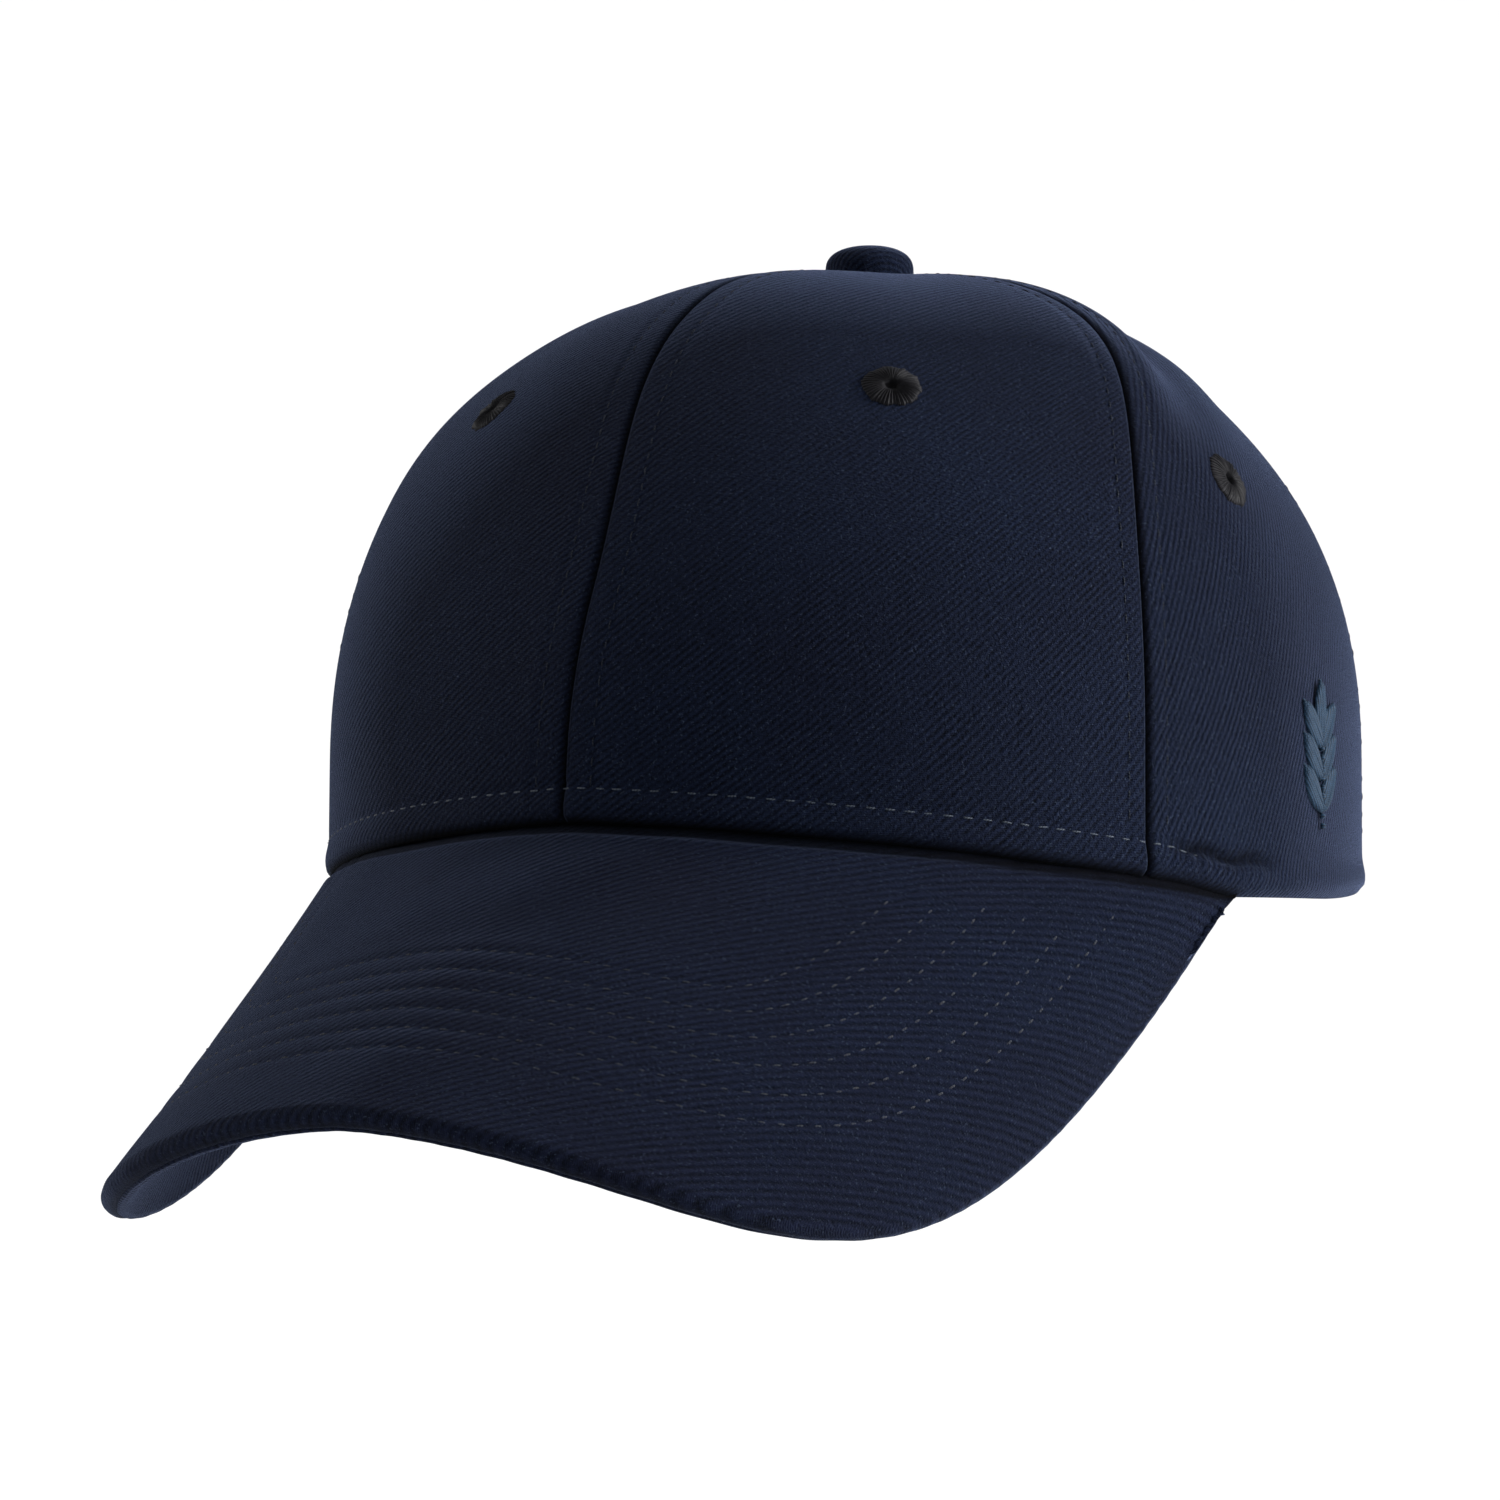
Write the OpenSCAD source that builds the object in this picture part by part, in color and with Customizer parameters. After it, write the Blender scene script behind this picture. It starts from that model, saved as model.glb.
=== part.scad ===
// Six-panel baseball cap with a curved visor and a strap-and-buckle size adjuster.
// The cap faces -Y, +Z is up and the wearer's left is +X. The origin is the middle of the head opening.

/* [Crown] */
// Half of the head opening's width
half_width = 86.5; // [80:0.5:90]
// From the origin forward to the front hem
front_length = 91; // [85:0.5:98]
// From the origin back to the rear hem
back_length = 104; // [96:0.5:108]
// Height of the crown above the side hem
crown_height = 107.5; // [98:0.5:118]
// How far behind the origin the top button sits
top_back = 11; // [4:0.5:14]
// Height of the straight wall at the sides and back
side_wall = 24; // [18:1:26]
// Height of the straight wall at the front
front_wall = 16; // [8:1:20]
// Extra fullness of the front panels near the top
front_puff = 3.2; // [0:0.2:4]
// Thickness of the panel cloth
cloth = 1; // [0.8:0.1:1.2]

/* [Seams] */
// Direction of the front to side seam at the hem, in degrees behind the wearer's left
side_seam_angle = -29; // [-34:1:-24]
// How far that seam bows back on its way up, in degrees
side_seam_bow = 11; // [0:1:12]
// Direction of the side to back seam at the hem
back_seam_angle = 32; // [28:1:38]
// Topstitching's distance from the front centre seam
stitch_gap_front = 5.5; // [4:0.5:7]
// Topstitching's distance from the other seams
stitch_gap_side = 4.2; // [3:0.1:6]

/* [Visor] */
// Length along the centre line, from the crown to the edge
visor_length = 81; // [74:1:86]
// How far round each side the visor is sewn, in degrees from the front
visor_reach = 74; // [68:1:76]
// How far the visor lifts the front hem above the side hem
hem_lift = 10.8; // [8:0.2:13]
// Downward slope at the centre line, in degrees
visor_slope = 31.4; // [24:0.2:36]
// Thickness of the board
board = 2.2; // [1.8:0.1:2.6]
// Thickness of each cover
cover = 0.8; // [0.6:0.1:1]
// Distance from the edge to the outermost stitched row
row_margin = 19; // [14:1:22]
// Distance between stitched rows
row_pitch = 5.6; // [4.5:0.1:6]
// Number of stitched rows
row_count = 6; // [3:1:6]

/* [Trim] */
// Width of the top button
button_d = 15.4; // [13:0.1:17]
// Height of the top button
button_h = 7; // [4:0.1:8]
// Outer diameter of an embroidered eyelet
eyelet_d = 10.4; // [9:0.2:12]
// Diameter of an eyelet's hole
eyelet_hole_d = 2.2; // [1.6:0.1:3]
// Height of the sweatband
sweatband_h = 31; // [26:1:34]
// Width of the embroidered emblem
emblem_w = 14; // [10:1:18]
// Height of the embroidered emblem
emblem_h = 25; // [20:1:28]

/* [Adjuster] */
// Half of the arch opening's angle at the back
arch_angle = 27; // [25:1:30]
// Height of the arch opening
arch_h = 46; // [42:1:52]
// Width of the strap
strap_w = 19; // [17:0.5:20]
// Thickness of the strap
strap_t = 1.5; // [1.2:0.1:1.7]
// Direction of the buckle from the origin, where 90 is the back centre
buckle_angle = 101; // [100:0.5:103]
// Radius of the buckle's hinge pin
pin_r = 0.8; // [0.7:0.05:0.9]

/* [Hidden] */

navy = [0.075, 0.1, 0.16];
thread = [0.3, 0.34, 0.42];
emblem_blue = [0.2, 0.36, 0.62];

// Layers inside the cloth, as depths below the crown's outer surface. The facets of neighbouring
// layers differ a little, so each layer keeps this gap to the next.
layer_gap = 0.45;
buckram_t = 0.7;
tape_t = 0.4;
pad_t = 1.5;
band_t = 0.9;
buckram_in = [cloth + layer_gap, cloth + layer_gap + buckram_t];
rear_tape_in = [cloth + layer_gap, cloth + layer_gap + tape_t];
front_tape_in = [buckram_in[1] + layer_gap, buckram_in[1] + layer_gap + tape_t];
pad_in = [front_tape_in[1] + layer_gap, front_tape_in[1] + layer_gap + pad_t];

// Share of the crown's vertical parameter that the straight wall takes
wall_share = 0.12;
// Where the panels stop, leaving the small hole that the button's prong passes
top_share = 0.99;
front_roundness = 2.27;
plain_roundness = 2;
shoulder_roundness = 0.74;
shoulder_spread = 21;
front_rise_power = 1.86;
side_rise_power = 2.29;
lift_power = 1.3;
lift_follow = 0.8;

function flat2(a) = [a.x, a.y];
function unit(v) = v / norm(v);
function mix(a, b, f) = a + (b - a) * f;
function smooth(x) = let (c = min(1, max(0, x))) c * c * (3 - 2 * c);

// ---- Crown surface. phi is the direction from the origin, s runs from the hem (0) to the top (1).

function half_length(phi) = sin(phi) < 0 ? front_length : back_length;
function hem_radius(phi) = 1 / sqrt(pow(cos(phi) / half_width, 2) + pow(sin(phi) / half_length(phi), 2));
function off_front(phi) = min(1, abs(phi + 90) / visor_reach);
function hem_height(phi) = hem_lift * (1 - pow(off_front(phi), lift_power));
function frontness(phi) = pow(max(0, -sin(phi)), 2);
function wall_height(phi) =
  mix(side_wall, front_wall, frontness(phi)) + lift_follow * hem_height(phi);
function roundness(phi) =
  mix(plain_roundness, front_roundness, frontness(phi))
  + shoulder_roundness * exp(-pow((phi - side_seam_angle - side_seam_bow) / shoulder_spread, 2));
function rise_power(phi) = mix(side_rise_power, front_rise_power, frontness(phi));
function dome_turn(s) = 90 * min(1, max(0, (s - wall_share) / (1 - wall_share)));
function reach(phi, s) = pow(max(0, cos(dome_turn(s))), 2 / roundness(phi));

function crown_skin(phi, s) =
  let (
    r = hem_radius(phi),
    k = reach(phi, s),
    wall_z = mix(hem_height(phi), wall_height(phi), min(1, s / wall_share)),
    dome_z = (crown_height - wall_height(phi)) * pow(sin(dome_turn(s)), 2 / rise_power(phi)),
    puff = s > wall_share ? front_puff * frontness(phi) * pow(sin(180 * k), 2) : 0
  )
  [r * cos(phi) * k, top_back + (r * sin(phi) - top_back) * k, wall_z + dome_z + puff];

function crown_normal(phi, s) =
  let (
    d = 0.01,
    low = max(0, s - d),
    along = crown_skin(phi + 1, s) - crown_skin(phi - 1, s),
    up = crown_skin(phi, s + d) - crown_skin(phi, low)
  )
  unit(cross(along, up));

// A point at a depth below the outer surface, on the wearer's left half
function crown_at(phi, s, depth) = crown_skin(phi, s) - depth * crown_normal(phi, s);
// The same on both halves: phi runs from -270 at the back, over -90 at the front, to 90
function crown_both(phi, s, depth) =
  phi >= -90
    ? crown_at(phi, s, depth)
    : let (p = crown_at(-180 - phi, s, depth)) [-p.x, p.y, p.z];

// The vertical parameter at which the surface reaches a height
function share_at(phi, z) =
  let (h = hem_height(phi), w = wall_height(phi))
  z <= w
    ? wall_share * max(0, z - h) / (w - h)
    : wall_share
      + (1 - wall_share) / 90 * asin(min(1, pow((z - w) / (crown_height - w), rise_power(phi) / 2)));

// ---- Seams

function front_seam(s) = -90;
function side_seam(s) = side_seam_angle + side_seam_bow * pow(sin(180 * s * s), 2);
function rear_seam(s) = back_seam_angle;
function back_seam(s) = 90;
function seam(i, s) = i == 0 ? front_seam(s) : i == 1 ? side_seam(s) : i == 2 ? rear_seam(s) : back_seam(s);
seam_gap = 0.05;

// ---- The arch opening, in degrees off the back centre and in height

arch_power = 2.2;
function arch_turn(t, grow) = (arch_angle + grow) * sign(cos(t)) * pow(abs(cos(t)), 2 / arch_power);
function arch_z(off) =
  off >= arch_angle ? 0 : arch_h * pow(1 - pow(off / arch_angle, arch_power), 1 / arch_power);
function hem_share(phi) = share_at(phi, arch_z(90 - phi));

// ---- Solids from grids of points

// One closed solid between two grids of points of the same size: outer[row][column] and inner
module shell(outer, inner) {
  rows = len(outer);
  cols = len(outer[0]);
  n = rows * cols;
  function at(i, j, side) = side * n + i * cols + j;
  points = concat([for (r = outer) each r], [for (r = inner) each r]);
  skin = [
    for (i = [0:rows - 2], j = [0:cols - 2]) each [
      [at(i, j, 0), at(i + 1, j, 0), at(i + 1, j + 1, 0)],
      [at(i, j, 0), at(i + 1, j + 1, 0), at(i, j + 1, 0)],
      [at(i, j, 1), at(i + 1, j + 1, 1), at(i + 1, j, 1)],
      [at(i, j, 1), at(i, j + 1, 1), at(i + 1, j + 1, 1)]
    ]
  ];
  ends = [
    for (j = [0:cols - 2]) each [
      [at(0, j, 0), at(0, j + 1, 0), at(0, j + 1, 1)],
      [at(0, j, 0), at(0, j + 1, 1), at(0, j, 1)],
      [at(rows - 1, j, 0), at(rows - 1, j + 1, 1), at(rows - 1, j + 1, 0)],
      [at(rows - 1, j, 0), at(rows - 1, j, 1), at(rows - 1, j + 1, 1)]
    ]
  ];
  sides = [
    for (i = [0:rows - 2]) each [
      [at(i, 0, 0), at(i, 0, 1), at(i + 1, 0, 1)],
      [at(i, 0, 0), at(i + 1, 0, 1), at(i + 1, 0, 0)],
      [at(i, cols - 1, 0), at(i + 1, cols - 1, 1), at(i, cols - 1, 1)],
      [at(i, cols - 1, 0), at(i + 1, cols - 1, 0), at(i + 1, cols - 1, 1)]
    ]
  ];
  polyhedron(points = points, faces = concat(skin, ends, sides), convexity = 6);
}

// ---- Crown panels

panel_rows = 16;
panel_cols = 12;
// The grid's rows: the hem or the arch's edge, the top of the wall, then even turns of the dome
function row_share(i, s0) =
  i == 0 ? s0 : mix(max(wall_share, s0 + 0.01), top_share, (i - 1) / (panel_rows - 1));

module panel(left, right, depths) {
  grid = [
    for (d = depths) [
      for (j = [0:panel_cols]) [
        for (i = [0:panel_rows])
          let (
            s = row_share(i, 0),
            a = seam(left, s) + seam_gap,
            b = seam(right, s) - seam_gap
          )
          crown_at(mix(a, b, j / panel_cols), s, d)
      ]
    ]
  ];
  shell(grid[0], grid[1]);
}

// The back panel's columns are even up to the arch and follow its curve over the opening
arch_cols = 8;
plain_cols = 4;
module back_panel() {
  function column_phi(j, s) =
    j <= plain_cols
      ? mix(rear_seam(s) + seam_gap, 90 - arch_angle, j / plain_cols)
      : min(90 - seam_gap, 90 - arch_turn((j - plain_cols) / arch_cols * 90, 0));
  grid = [
    for (d = [0, cloth]) [
      for (j = [0:plain_cols + arch_cols])
        let (s0 = hem_share(column_phi(j, 0)))
        [for (i = [0:panel_rows]) let (s = row_share(i, s0)) crown_at(column_phi(j, s), s, d)]
    ]
  ];
  shell(grid[0], grid[1]);
}

eyelet_front_at = [-56.8, 0.538];
eyelet_side_at = [-9, 0.405];
eyelet_back_at = [58, 0.55];

// Children placed on the crown, with +Z pointing out of the cloth and +Y up the panel
module on_crown(at) {
  p = crown_skin(at.x, at.y);
  n = crown_normal(at.x, at.y);
  translate(p) rotate([0, acos(n.z), atan2(n.y, n.x)]) rotate([0, 0, 90]) children();
}

module eyelet_bore(at) {
  bore_depth = 8;
  on_crown(at) cylinder(h = bore_depth, d = eyelet_hole_d, center = true, $fn = 24);
}

module front_panel() {
  color(navy) difference() {
    panel(0, 1, [0, cloth]);
    eyelet_bore(eyelet_front_at);
  }
}

module side_panel() {
  color(navy) difference() {
    panel(1, 2, [0, cloth]);
    eyelet_bore(eyelet_side_at);
  }
}

module rear_panel() {
  color(navy) difference() {
    back_panel();
    eyelet_bore(eyelet_back_at);
  }
}

module other_side() { mirror([1, 0, 0]) children(); }

module panel_front_left() { front_panel(); }
module panel_front_right() { other_side() front_panel(); }
module panel_side_left() { side_panel(); }
module panel_side_right() { other_side() side_panel(); }
module panel_back_left() { rear_panel(); }
module panel_back_right() { other_side() rear_panel(); }

// ---- Inside the crown

buckram_rows = 12;
buckram_cols = 9;
buckram_low = 0.02;
buckram_high = 0.9;
module front_backing() {
  margin = 0.6;
  grid = [
    for (d = buckram_in) [
      for (j = [0:buckram_cols]) [
        for (i = [0:buckram_rows])
          let (s = mix(buckram_low, buckram_high, i / buckram_rows))
          crown_at(mix(front_seam(s) + margin, side_seam(s) - margin, j / buckram_cols), s, d)
      ]
    ]
  ];
  color("gainsboro") difference() {
    shell(grid[0], grid[1]);
    eyelet_bore(eyelet_front_at);
  }
}
module buckram_left() { front_backing(); }
module buckram_right() { other_side() front_backing(); }

// A strip of even width along a seam, on the wearer's left half or across the centre line
module seam_strip(i, s_from, s_to, offsets, depths, steps) {
  grid = [
    for (d = depths) [
      for (o = offsets) [
        for (j = [0:steps])
          let (
            s = mix(s_from, s_to, j / steps),
            phi = seam(i, s),
            turn = o / (hem_radius(phi) * reach(phi, s)) * 180 / PI,
            turned = phi + turn
          )
          turned > 90
            ? let (p = crown_at(180 - turned, s, d)) [-p.x, p.y, p.z]
            : crown_both(turned, s, d)
      ]
    ]
  ];
  shell(grid[0], grid[1]);
}

tape_half = 6;
tape_top = 0.9;
tape_steps = 16;
tape_offsets = [-tape_half, 0, tape_half];
module tape(i, s_from, depths) {
  color("lightslategray") seam_strip(i, s_from, tape_top, tape_offsets, depths, tape_steps);
}
module seam_tape_front() { tape(0, 0.01, front_tape_in); }
module seam_tape_side_left() { tape(1, 0.01, front_tape_in); }
module seam_tape_side_right() { other_side() tape(1, 0.01, front_tape_in); }
module seam_tape_rear_left() { tape(2, 0.01, rear_tape_in); }
module seam_tape_rear_right() { other_side() tape(2, 0.01, rear_tape_in); }
module seam_tape_back() { tape(3, hem_share(90) + 0.1, rear_tape_in); }

// The sweatband lies behind the forehead pad and closes in on the cloth at the sides
band_span = 142;
pad_span = 38;
function band_depth(phi) =
  let (off = abs(phi + 90), behind_pad = pad_in[1] + 0.3, behind_tape = front_tape_in[1] + layer_gap)
  mix(behind_pad, behind_tape, smooth((off - pad_span - 4) / 14));
module lining(span, low, high, outer, thick, steps) {
  function depth_at(phi, k) = outer(phi) + k * thick;
  grid = [
    for (k = [0, 1]) [
      for (z = [low, high]) [
        for (j = [0:steps])
          let (
            phi = mix(-90 - span, -90 + span, j / steps),
            own = phi < -90 ? -180 - phi : phi
          )
          crown_both(phi, share_at(own, hem_height(own) + z), depth_at(phi, k))
      ]
    ]
  ];
  shell(grid[1], grid[0]);
}
module sweatband() {
  steps = 44;
  color("black") lining(band_span, 0.6, sweatband_h, function (phi) band_depth(phi), band_t, steps);
}
module sweatband_pad() {
  steps = 16;
  pad_low = 5;
  color("dimgray")
    lining(pad_span, pad_low, sweatband_h - pad_low, function (phi) pad_in[0], pad_in[1] - pad_in[0], steps);
}

module label(phi, width, low, high) {
  turn = width / hem_radius(phi) * 180 / PI;
  steps = 2;
  lift = 0.3;
  grid = [
    for (k = [0.25, 0]) [
      for (z = [low, high]) [
        for (j = [0:steps])
          let (p = phi + turn * j / steps)
          crown_at(p, share_at(p, z), band_depth(p) + band_t + lift + k)
      ]
    ]
  ];
  color("white") shell(grid[0], grid[1]);
}
module size_label() { label(38, 12, 8, 24); }
module care_label() { other_side() label(14, 22, 4, 29); }

// ---- Eyelets, each a raised ring of thread round its hole

eyelet_rise = 0.9;
eyelet_base = 0.05;
module eyelet(at) {
  ring_w = (eyelet_d - eyelet_hole_d) / 2;
  color([0.2, 0.19, 0.2]) on_crown(at) translate([0, 0, eyelet_base]) rotate_extrude($fn = 40)
    translate([eyelet_hole_d / 2, 0]) intersection() {
      translate([ring_w / 2, -1.6]) circle(r = ring_w / 2 + 0.6, $fn = 40);
      square([ring_w, eyelet_rise]);
    }
}
module eyelet_front_left() { eyelet(eyelet_front_at); }
module eyelet_front_right() { other_side() eyelet(eyelet_front_at); }
module eyelet_side_left() { eyelet(eyelet_side_at); }
module eyelet_side_right() { other_side() eyelet(eyelet_side_at); }
module eyelet_back_left() { eyelet(eyelet_back_at); }
module eyelet_back_right() { other_side() eyelet(eyelet_back_at); }

// ---- Top button: a metal shell under a cloth cover, clenched by a prong from inside

button_gap = 0.15;
shell_t = 0.5;
button_cloth = 0.6;
// Radius of the sphere that gives a dome of this radius and height
function dome_radius(r, h) = (r * r + h * h) / (2 * h);
module dome(r, h) {
  big = dome_radius(r, h);
  rotate_extrude($fn = 60) intersection() {
    translate([0, h - big]) circle(r = big, $fn = 120);
    square([r, h]);
  }
}
module at_top(z) { translate([0, top_back, crown_height + z]) children(); }
module button_cover() {
  r = button_d / 2;
  color(navy) at_top(button_gap) difference() {
    dome(r, button_h);
    translate([0, 0, -0.01]) dome(r - button_cloth, button_h - button_cloth);
  }
}
module button_shell() {
  r = button_d / 2 - button_cloth - 0.05;
  h = button_h - button_cloth - 0.05;
  color("silver") at_top(button_gap) difference() {
    dome(r, h);
    translate([0, 0, -0.01]) dome(r - shell_t, h - shell_t);
  }
}
module button_prong() {
  post_r = 1.2;
  post_h = 6;
  flange_r = 6;
  flange_t = 0.8;
  flange_z = -3.4;
  color("silver") at_top(flange_z) {
    cylinder(h = flange_t, r = flange_r, $fn = 40);
    cylinder(h = post_h, r = post_r, $fn = 24);
  }
}

// ---- Visor: straight lines run forward and down from the hem, and end at the edge curve.
// w runs from -1 at the wearer's right corner to 1 at the left.

length_power = 3.13;
length_root = 1.51;
wing_growth = 0.61;
fan = [6.8, -18.7];
wing_slope = [25.1, -8.8];
visor_end = 0.985;

function visor_phi(w) = -90 + w * visor_reach;
function visor_hem(w) =
  let (a = abs(w), phi = visor_phi(a), r = hem_radius(phi))
  [sign(w) * r * cos(phi), r * sin(phi), hem_height(phi)];
function visor_way(w) =
  let (
    yaw = fan[0] * w + fan[1] * pow(w, 3),
    pitch = visor_slope + wing_slope[0] * pow(w, 2) + wing_slope[1] * pow(w, 4)
  )
  [sin(yaw) * cos(pitch), -cos(yaw) * cos(pitch), -sin(pitch)];
function visor_reach_at(w) =
  visor_length * (1 + wing_growth * w * w) * pow(max(0, 1 - pow(abs(w), length_power)), 1 / length_root);
function visor_skin(w, f) = visor_hem(w) + f * visor_reach_at(w) * visor_way(w);
function visor_normal(w, f) =
  let (d = 0.01, across = visor_skin(w + d, f) - visor_skin(w - d, f))
  unit(cross(visor_way(w), across));
function edge_out(w) =
  let (d = 0.003, along = visor_skin(w + d, 1) - visor_skin(w - d, 1))
  unit(cross(along, visor_normal(w, 1)));

visor_t = board + 2 * cover + 0.1;
edge_r = visor_t / 2;
function edge_in(w) = visor_skin(w, 1) - edge_r * edge_out(w);
// A point of the flat part: f from the hem to the rounded edge, and its depth below the top
function visor_at(w, f, depth) =
  mix(visor_skin(w, 0), edge_in(w), f) - depth * mix(visor_normal(w, 0.02), visor_normal(w, 0.98), f);
// A point of the rounded edge: turn is 0 on top and 180 underneath
function visor_edge(w, turn, r) =
  edge_in(w) + visor_normal(w, 0.98) * (r * cos(turn) - edge_r) + edge_out(w) * r * sin(turn);

visor_cols = 36;
visor_rows = 5;
function visor_w(i) = visor_end * sin(mix(-90, 90, i / visor_cols));
board_depth = [cover + 0.05, cover + 0.05 + board];

module visor_board() {
  grid = [
    for (d = board_depth) [
      for (i = [0:visor_cols]) [for (j = [0:visor_rows]) visor_at(visor_w(i), j / visor_rows, d)]
    ]
  ];
  color("white") shell(grid[0], grid[1]);
}

// The covers meet at the seam line under the rounded edge
edge_seam_turn = 125;
module visor_cover(depths, radii, turn_from, turns) {
  grid = [
    for (k = [0, 1]) [
      for (i = [0:visor_cols]) concat(
        [for (j = [0:visor_rows]) visor_at(visor_w(i), j / visor_rows, depths[k])],
        [for (m = [1:turns]) visor_edge(visor_w(i), mix(turn_from, edge_seam_turn, m / turns), radii[k])]
      )
    ]
  ];
  shell(grid[0], grid[1]);
}
module visor_top_cover() {
  color(navy) visor_cover([0, cover], [edge_r, edge_r - cover], 0, 4);
}
module visor_under_cover() {
  color(navy) visor_cover([visor_t - cover, visor_t], [edge_r - cover, edge_r], 180, 2);
}

stitch_rise = 0.3;
stitch_half = 0.25;
stitch_clear = 0.3;
// Fraction of the generator at which a row lies that runs at a distance inside the edge
function row_at(w, distance) =
  let (
    d = 0.003,
    along = unit(visor_skin(w + d, 1) - visor_skin(w - d, 1)),
    slant = max(0.2, norm(cross(along, visor_way(w))))
  )
  1 - distance / slant / max(0.01, visor_reach_at(w));
row_cols = 22;
row_end = 0.9;
row_hem_gap = 0.015;
module visor_row(distance) {
  open_w = [for (i = [0:100]) let (w = i / 100 * row_end) if (row_at(w, distance) > row_hem_gap) w];
  last_w = open_w[len(open_w) - 1];
  grid = [
    for (h = [stitch_clear + stitch_rise, stitch_clear]) [
      for (i = [0:row_cols])
        let (w = last_w * mix(-1, 1, i / row_cols), f = row_at(w, distance))
        [
          for (o = [stitch_half, -stitch_half])
            visor_skin(w, f + o / visor_reach_at(w)) + h * visor_normal(w, f)
        ]
    ]
  ];
  shell(grid[1], grid[0]);
}
module visor_stitching() {
  color(thread) for (k = [0:row_count - 1]) visor_row(row_margin + k * row_pitch);
}

// ---- Stitching on the crown

hem_stitch_height = 6;
hem_stitch_span = 79;
module visor_seam_stitching() {
  steps = 40;
  grid = [
    for (d = [-stitch_clear - stitch_rise, -stitch_clear]) [
      for (z = [hem_stitch_height - stitch_half, hem_stitch_height + stitch_half]) [
        for (j = [0:steps])
          let (
            phi = mix(-90 - hem_stitch_span, -90 + hem_stitch_span, j / steps),
            own = phi < -90 ? -180 - phi : phi
          )
          crown_both(phi, share_at(own, hem_height(own) + z), d)
      ]
    ]
  ];
  color(thread) shell(grid[1], grid[0]);
}

topstitch_low = 0.055;
topstitch_high = 0.9;
topstitch_steps = 14;
module topstitch_pair(i, gap, s_from) {
  for (side = [-1, 1])
    seam_strip(
      i, s_from, topstitch_high, [side * gap - stitch_half, side * gap + stitch_half],
      [-stitch_clear - stitch_rise, -stitch_clear], topstitch_steps
    );
}
module crown_topstitching() {
  color(thread) {
    topstitch_pair(0, stitch_gap_front, topstitch_low);
    for (m = [0, 1]) mirror([m, 0, 0]) {
      topstitch_pair(1, stitch_gap_side, topstitch_low);
      topstitch_pair(2, stitch_gap_side, topstitch_low);
    }
    topstitch_pair(3, stitch_gap_side, hem_share(90) + 0.02);
  }
}

// ---- Emblem: a raised embroidered sprig of leaves on the wearer's left side panel

emblem_at = [3, 0.118];
emblem_t = 0.5;
leaf_turn = 42;
// A leaf from the origin along +Y: the overlap of two circles
module leaf(length, width) {
  r = (length * length + width * width) / (4 * width);
  translate([0, length / 2]) intersection_for (side = [-1, 1])
    translate([side * (r - width / 2), 0]) circle(r = r, $fn = 64);
}
module emblem() {
  leaf_l = emblem_w / 2 / sin(leaf_turn);
  leaf_w = leaf_l * 0.42;
  stem_w = 1.2;
  tiers = 3;
  first_tier = 4;
  tier_step = (emblem_h - leaf_l - first_tier) / (tiers - 1);
  color(emblem_blue) on_crown(emblem_at) translate([0, -emblem_h / 2, 0.15])
    linear_extrude(emblem_t) {
      translate([-stem_w / 2, 0]) square([stem_w, emblem_h - leaf_l + 1]);
      for (k = [0:tiers - 1], side = [-1, 1])
        translate([0, first_tier + k * tier_step - 1]) rotate(side * leaf_turn) leaf(leaf_l, leaf_w);
      translate([0, emblem_h - leaf_l]) leaf(leaf_l, leaf_w);
    }
}

// ---- Arch binding, a tape round the inside of the opening

binding_w = 8;
module arch_binding() {
  steps = 24;
  grow = [0.4, binding_w];
  grid = [
    for (d = rear_tape_in) [
      for (g = grow) [
        for (j = [0:steps])
          let (
            t = 180 * j / steps,
            off = arch_turn(t, g * 0.6),
            z = (arch_h + g) * pow(max(0, sin(t)), 2 / arch_power) + 0.8,
            own = 90 - abs(off),
            p = crown_at(own, share_at(own, z), d)
          )
          off > 0 ? p : [-p.x, p.y, p.z]
      ]
    ]
  ];
  color("midnightblue") shell(grid[0], grid[1]);
}

// ---- Adjuster. The buckle has its own frame: X along the strap towards the wearer's right, Y outward.

strap_z = 12.5;
strap_depth = rear_tape_in[1] + layer_gap + strap_t / 2;
buckle_zone = [13, 12];

function hem_way(phi) =
  unit(flat2(crown_skin(phi + 0.5, 0)) - flat2(crown_skin(phi - 0.5, 0)));
// A plan point at a depth inside the hem's oval, for any direction at the back
function oval_at(phi, depth) =
  let (
    p = hem_radius(phi) * [cos(phi), sin(phi)],
    a = hem_radius(phi + 0.5) * [cos(phi + 0.5), sin(phi + 0.5)],
    b = hem_radius(phi - 0.5) * [cos(phi - 0.5), sin(phi - 0.5)],
    way = unit(a - b)
  )
  p - depth * [way.y, -way.x];
buckle_c = oval_at(buckle_angle, strap_depth);
buckle_x = unit(oval_at(buckle_angle + 0.5, strap_depth) - oval_at(buckle_angle - 0.5, strap_depth));
buckle_y = [buckle_x.y, -buckle_x.x];
buckle_turn = atan2(buckle_x.y, buckle_x.x);
// The strap follows the oval, and runs straight through the buckle
function strap_at(phi, depth) =
  let (
    q = oval_at(phi, strap_depth + depth) - buckle_c,
    x = q * buckle_x,
    y = q * buckle_y,
    pull = smooth((abs(x) - buckle_zone[0]) / buckle_zone[1])
  )
  buckle_c + x * buckle_x + mix(-depth, y, pull) * buckle_y;

strap_from = 57;
strap_to = 121;
module adjuster_strap() {
  steps = 36;
  side = [for (j = [0:steps]) strap_at(mix(strap_from, strap_to, j / steps), -strap_t / 2)];
  back = [for (j = [0:steps]) strap_at(mix(strap_to, strap_from, j / steps), strap_t / 2)];
  color(navy) translate([0, 0, strap_z - strap_w / 2]) linear_extrude(strap_w)
    polygon(concat(side, back));
}

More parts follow.
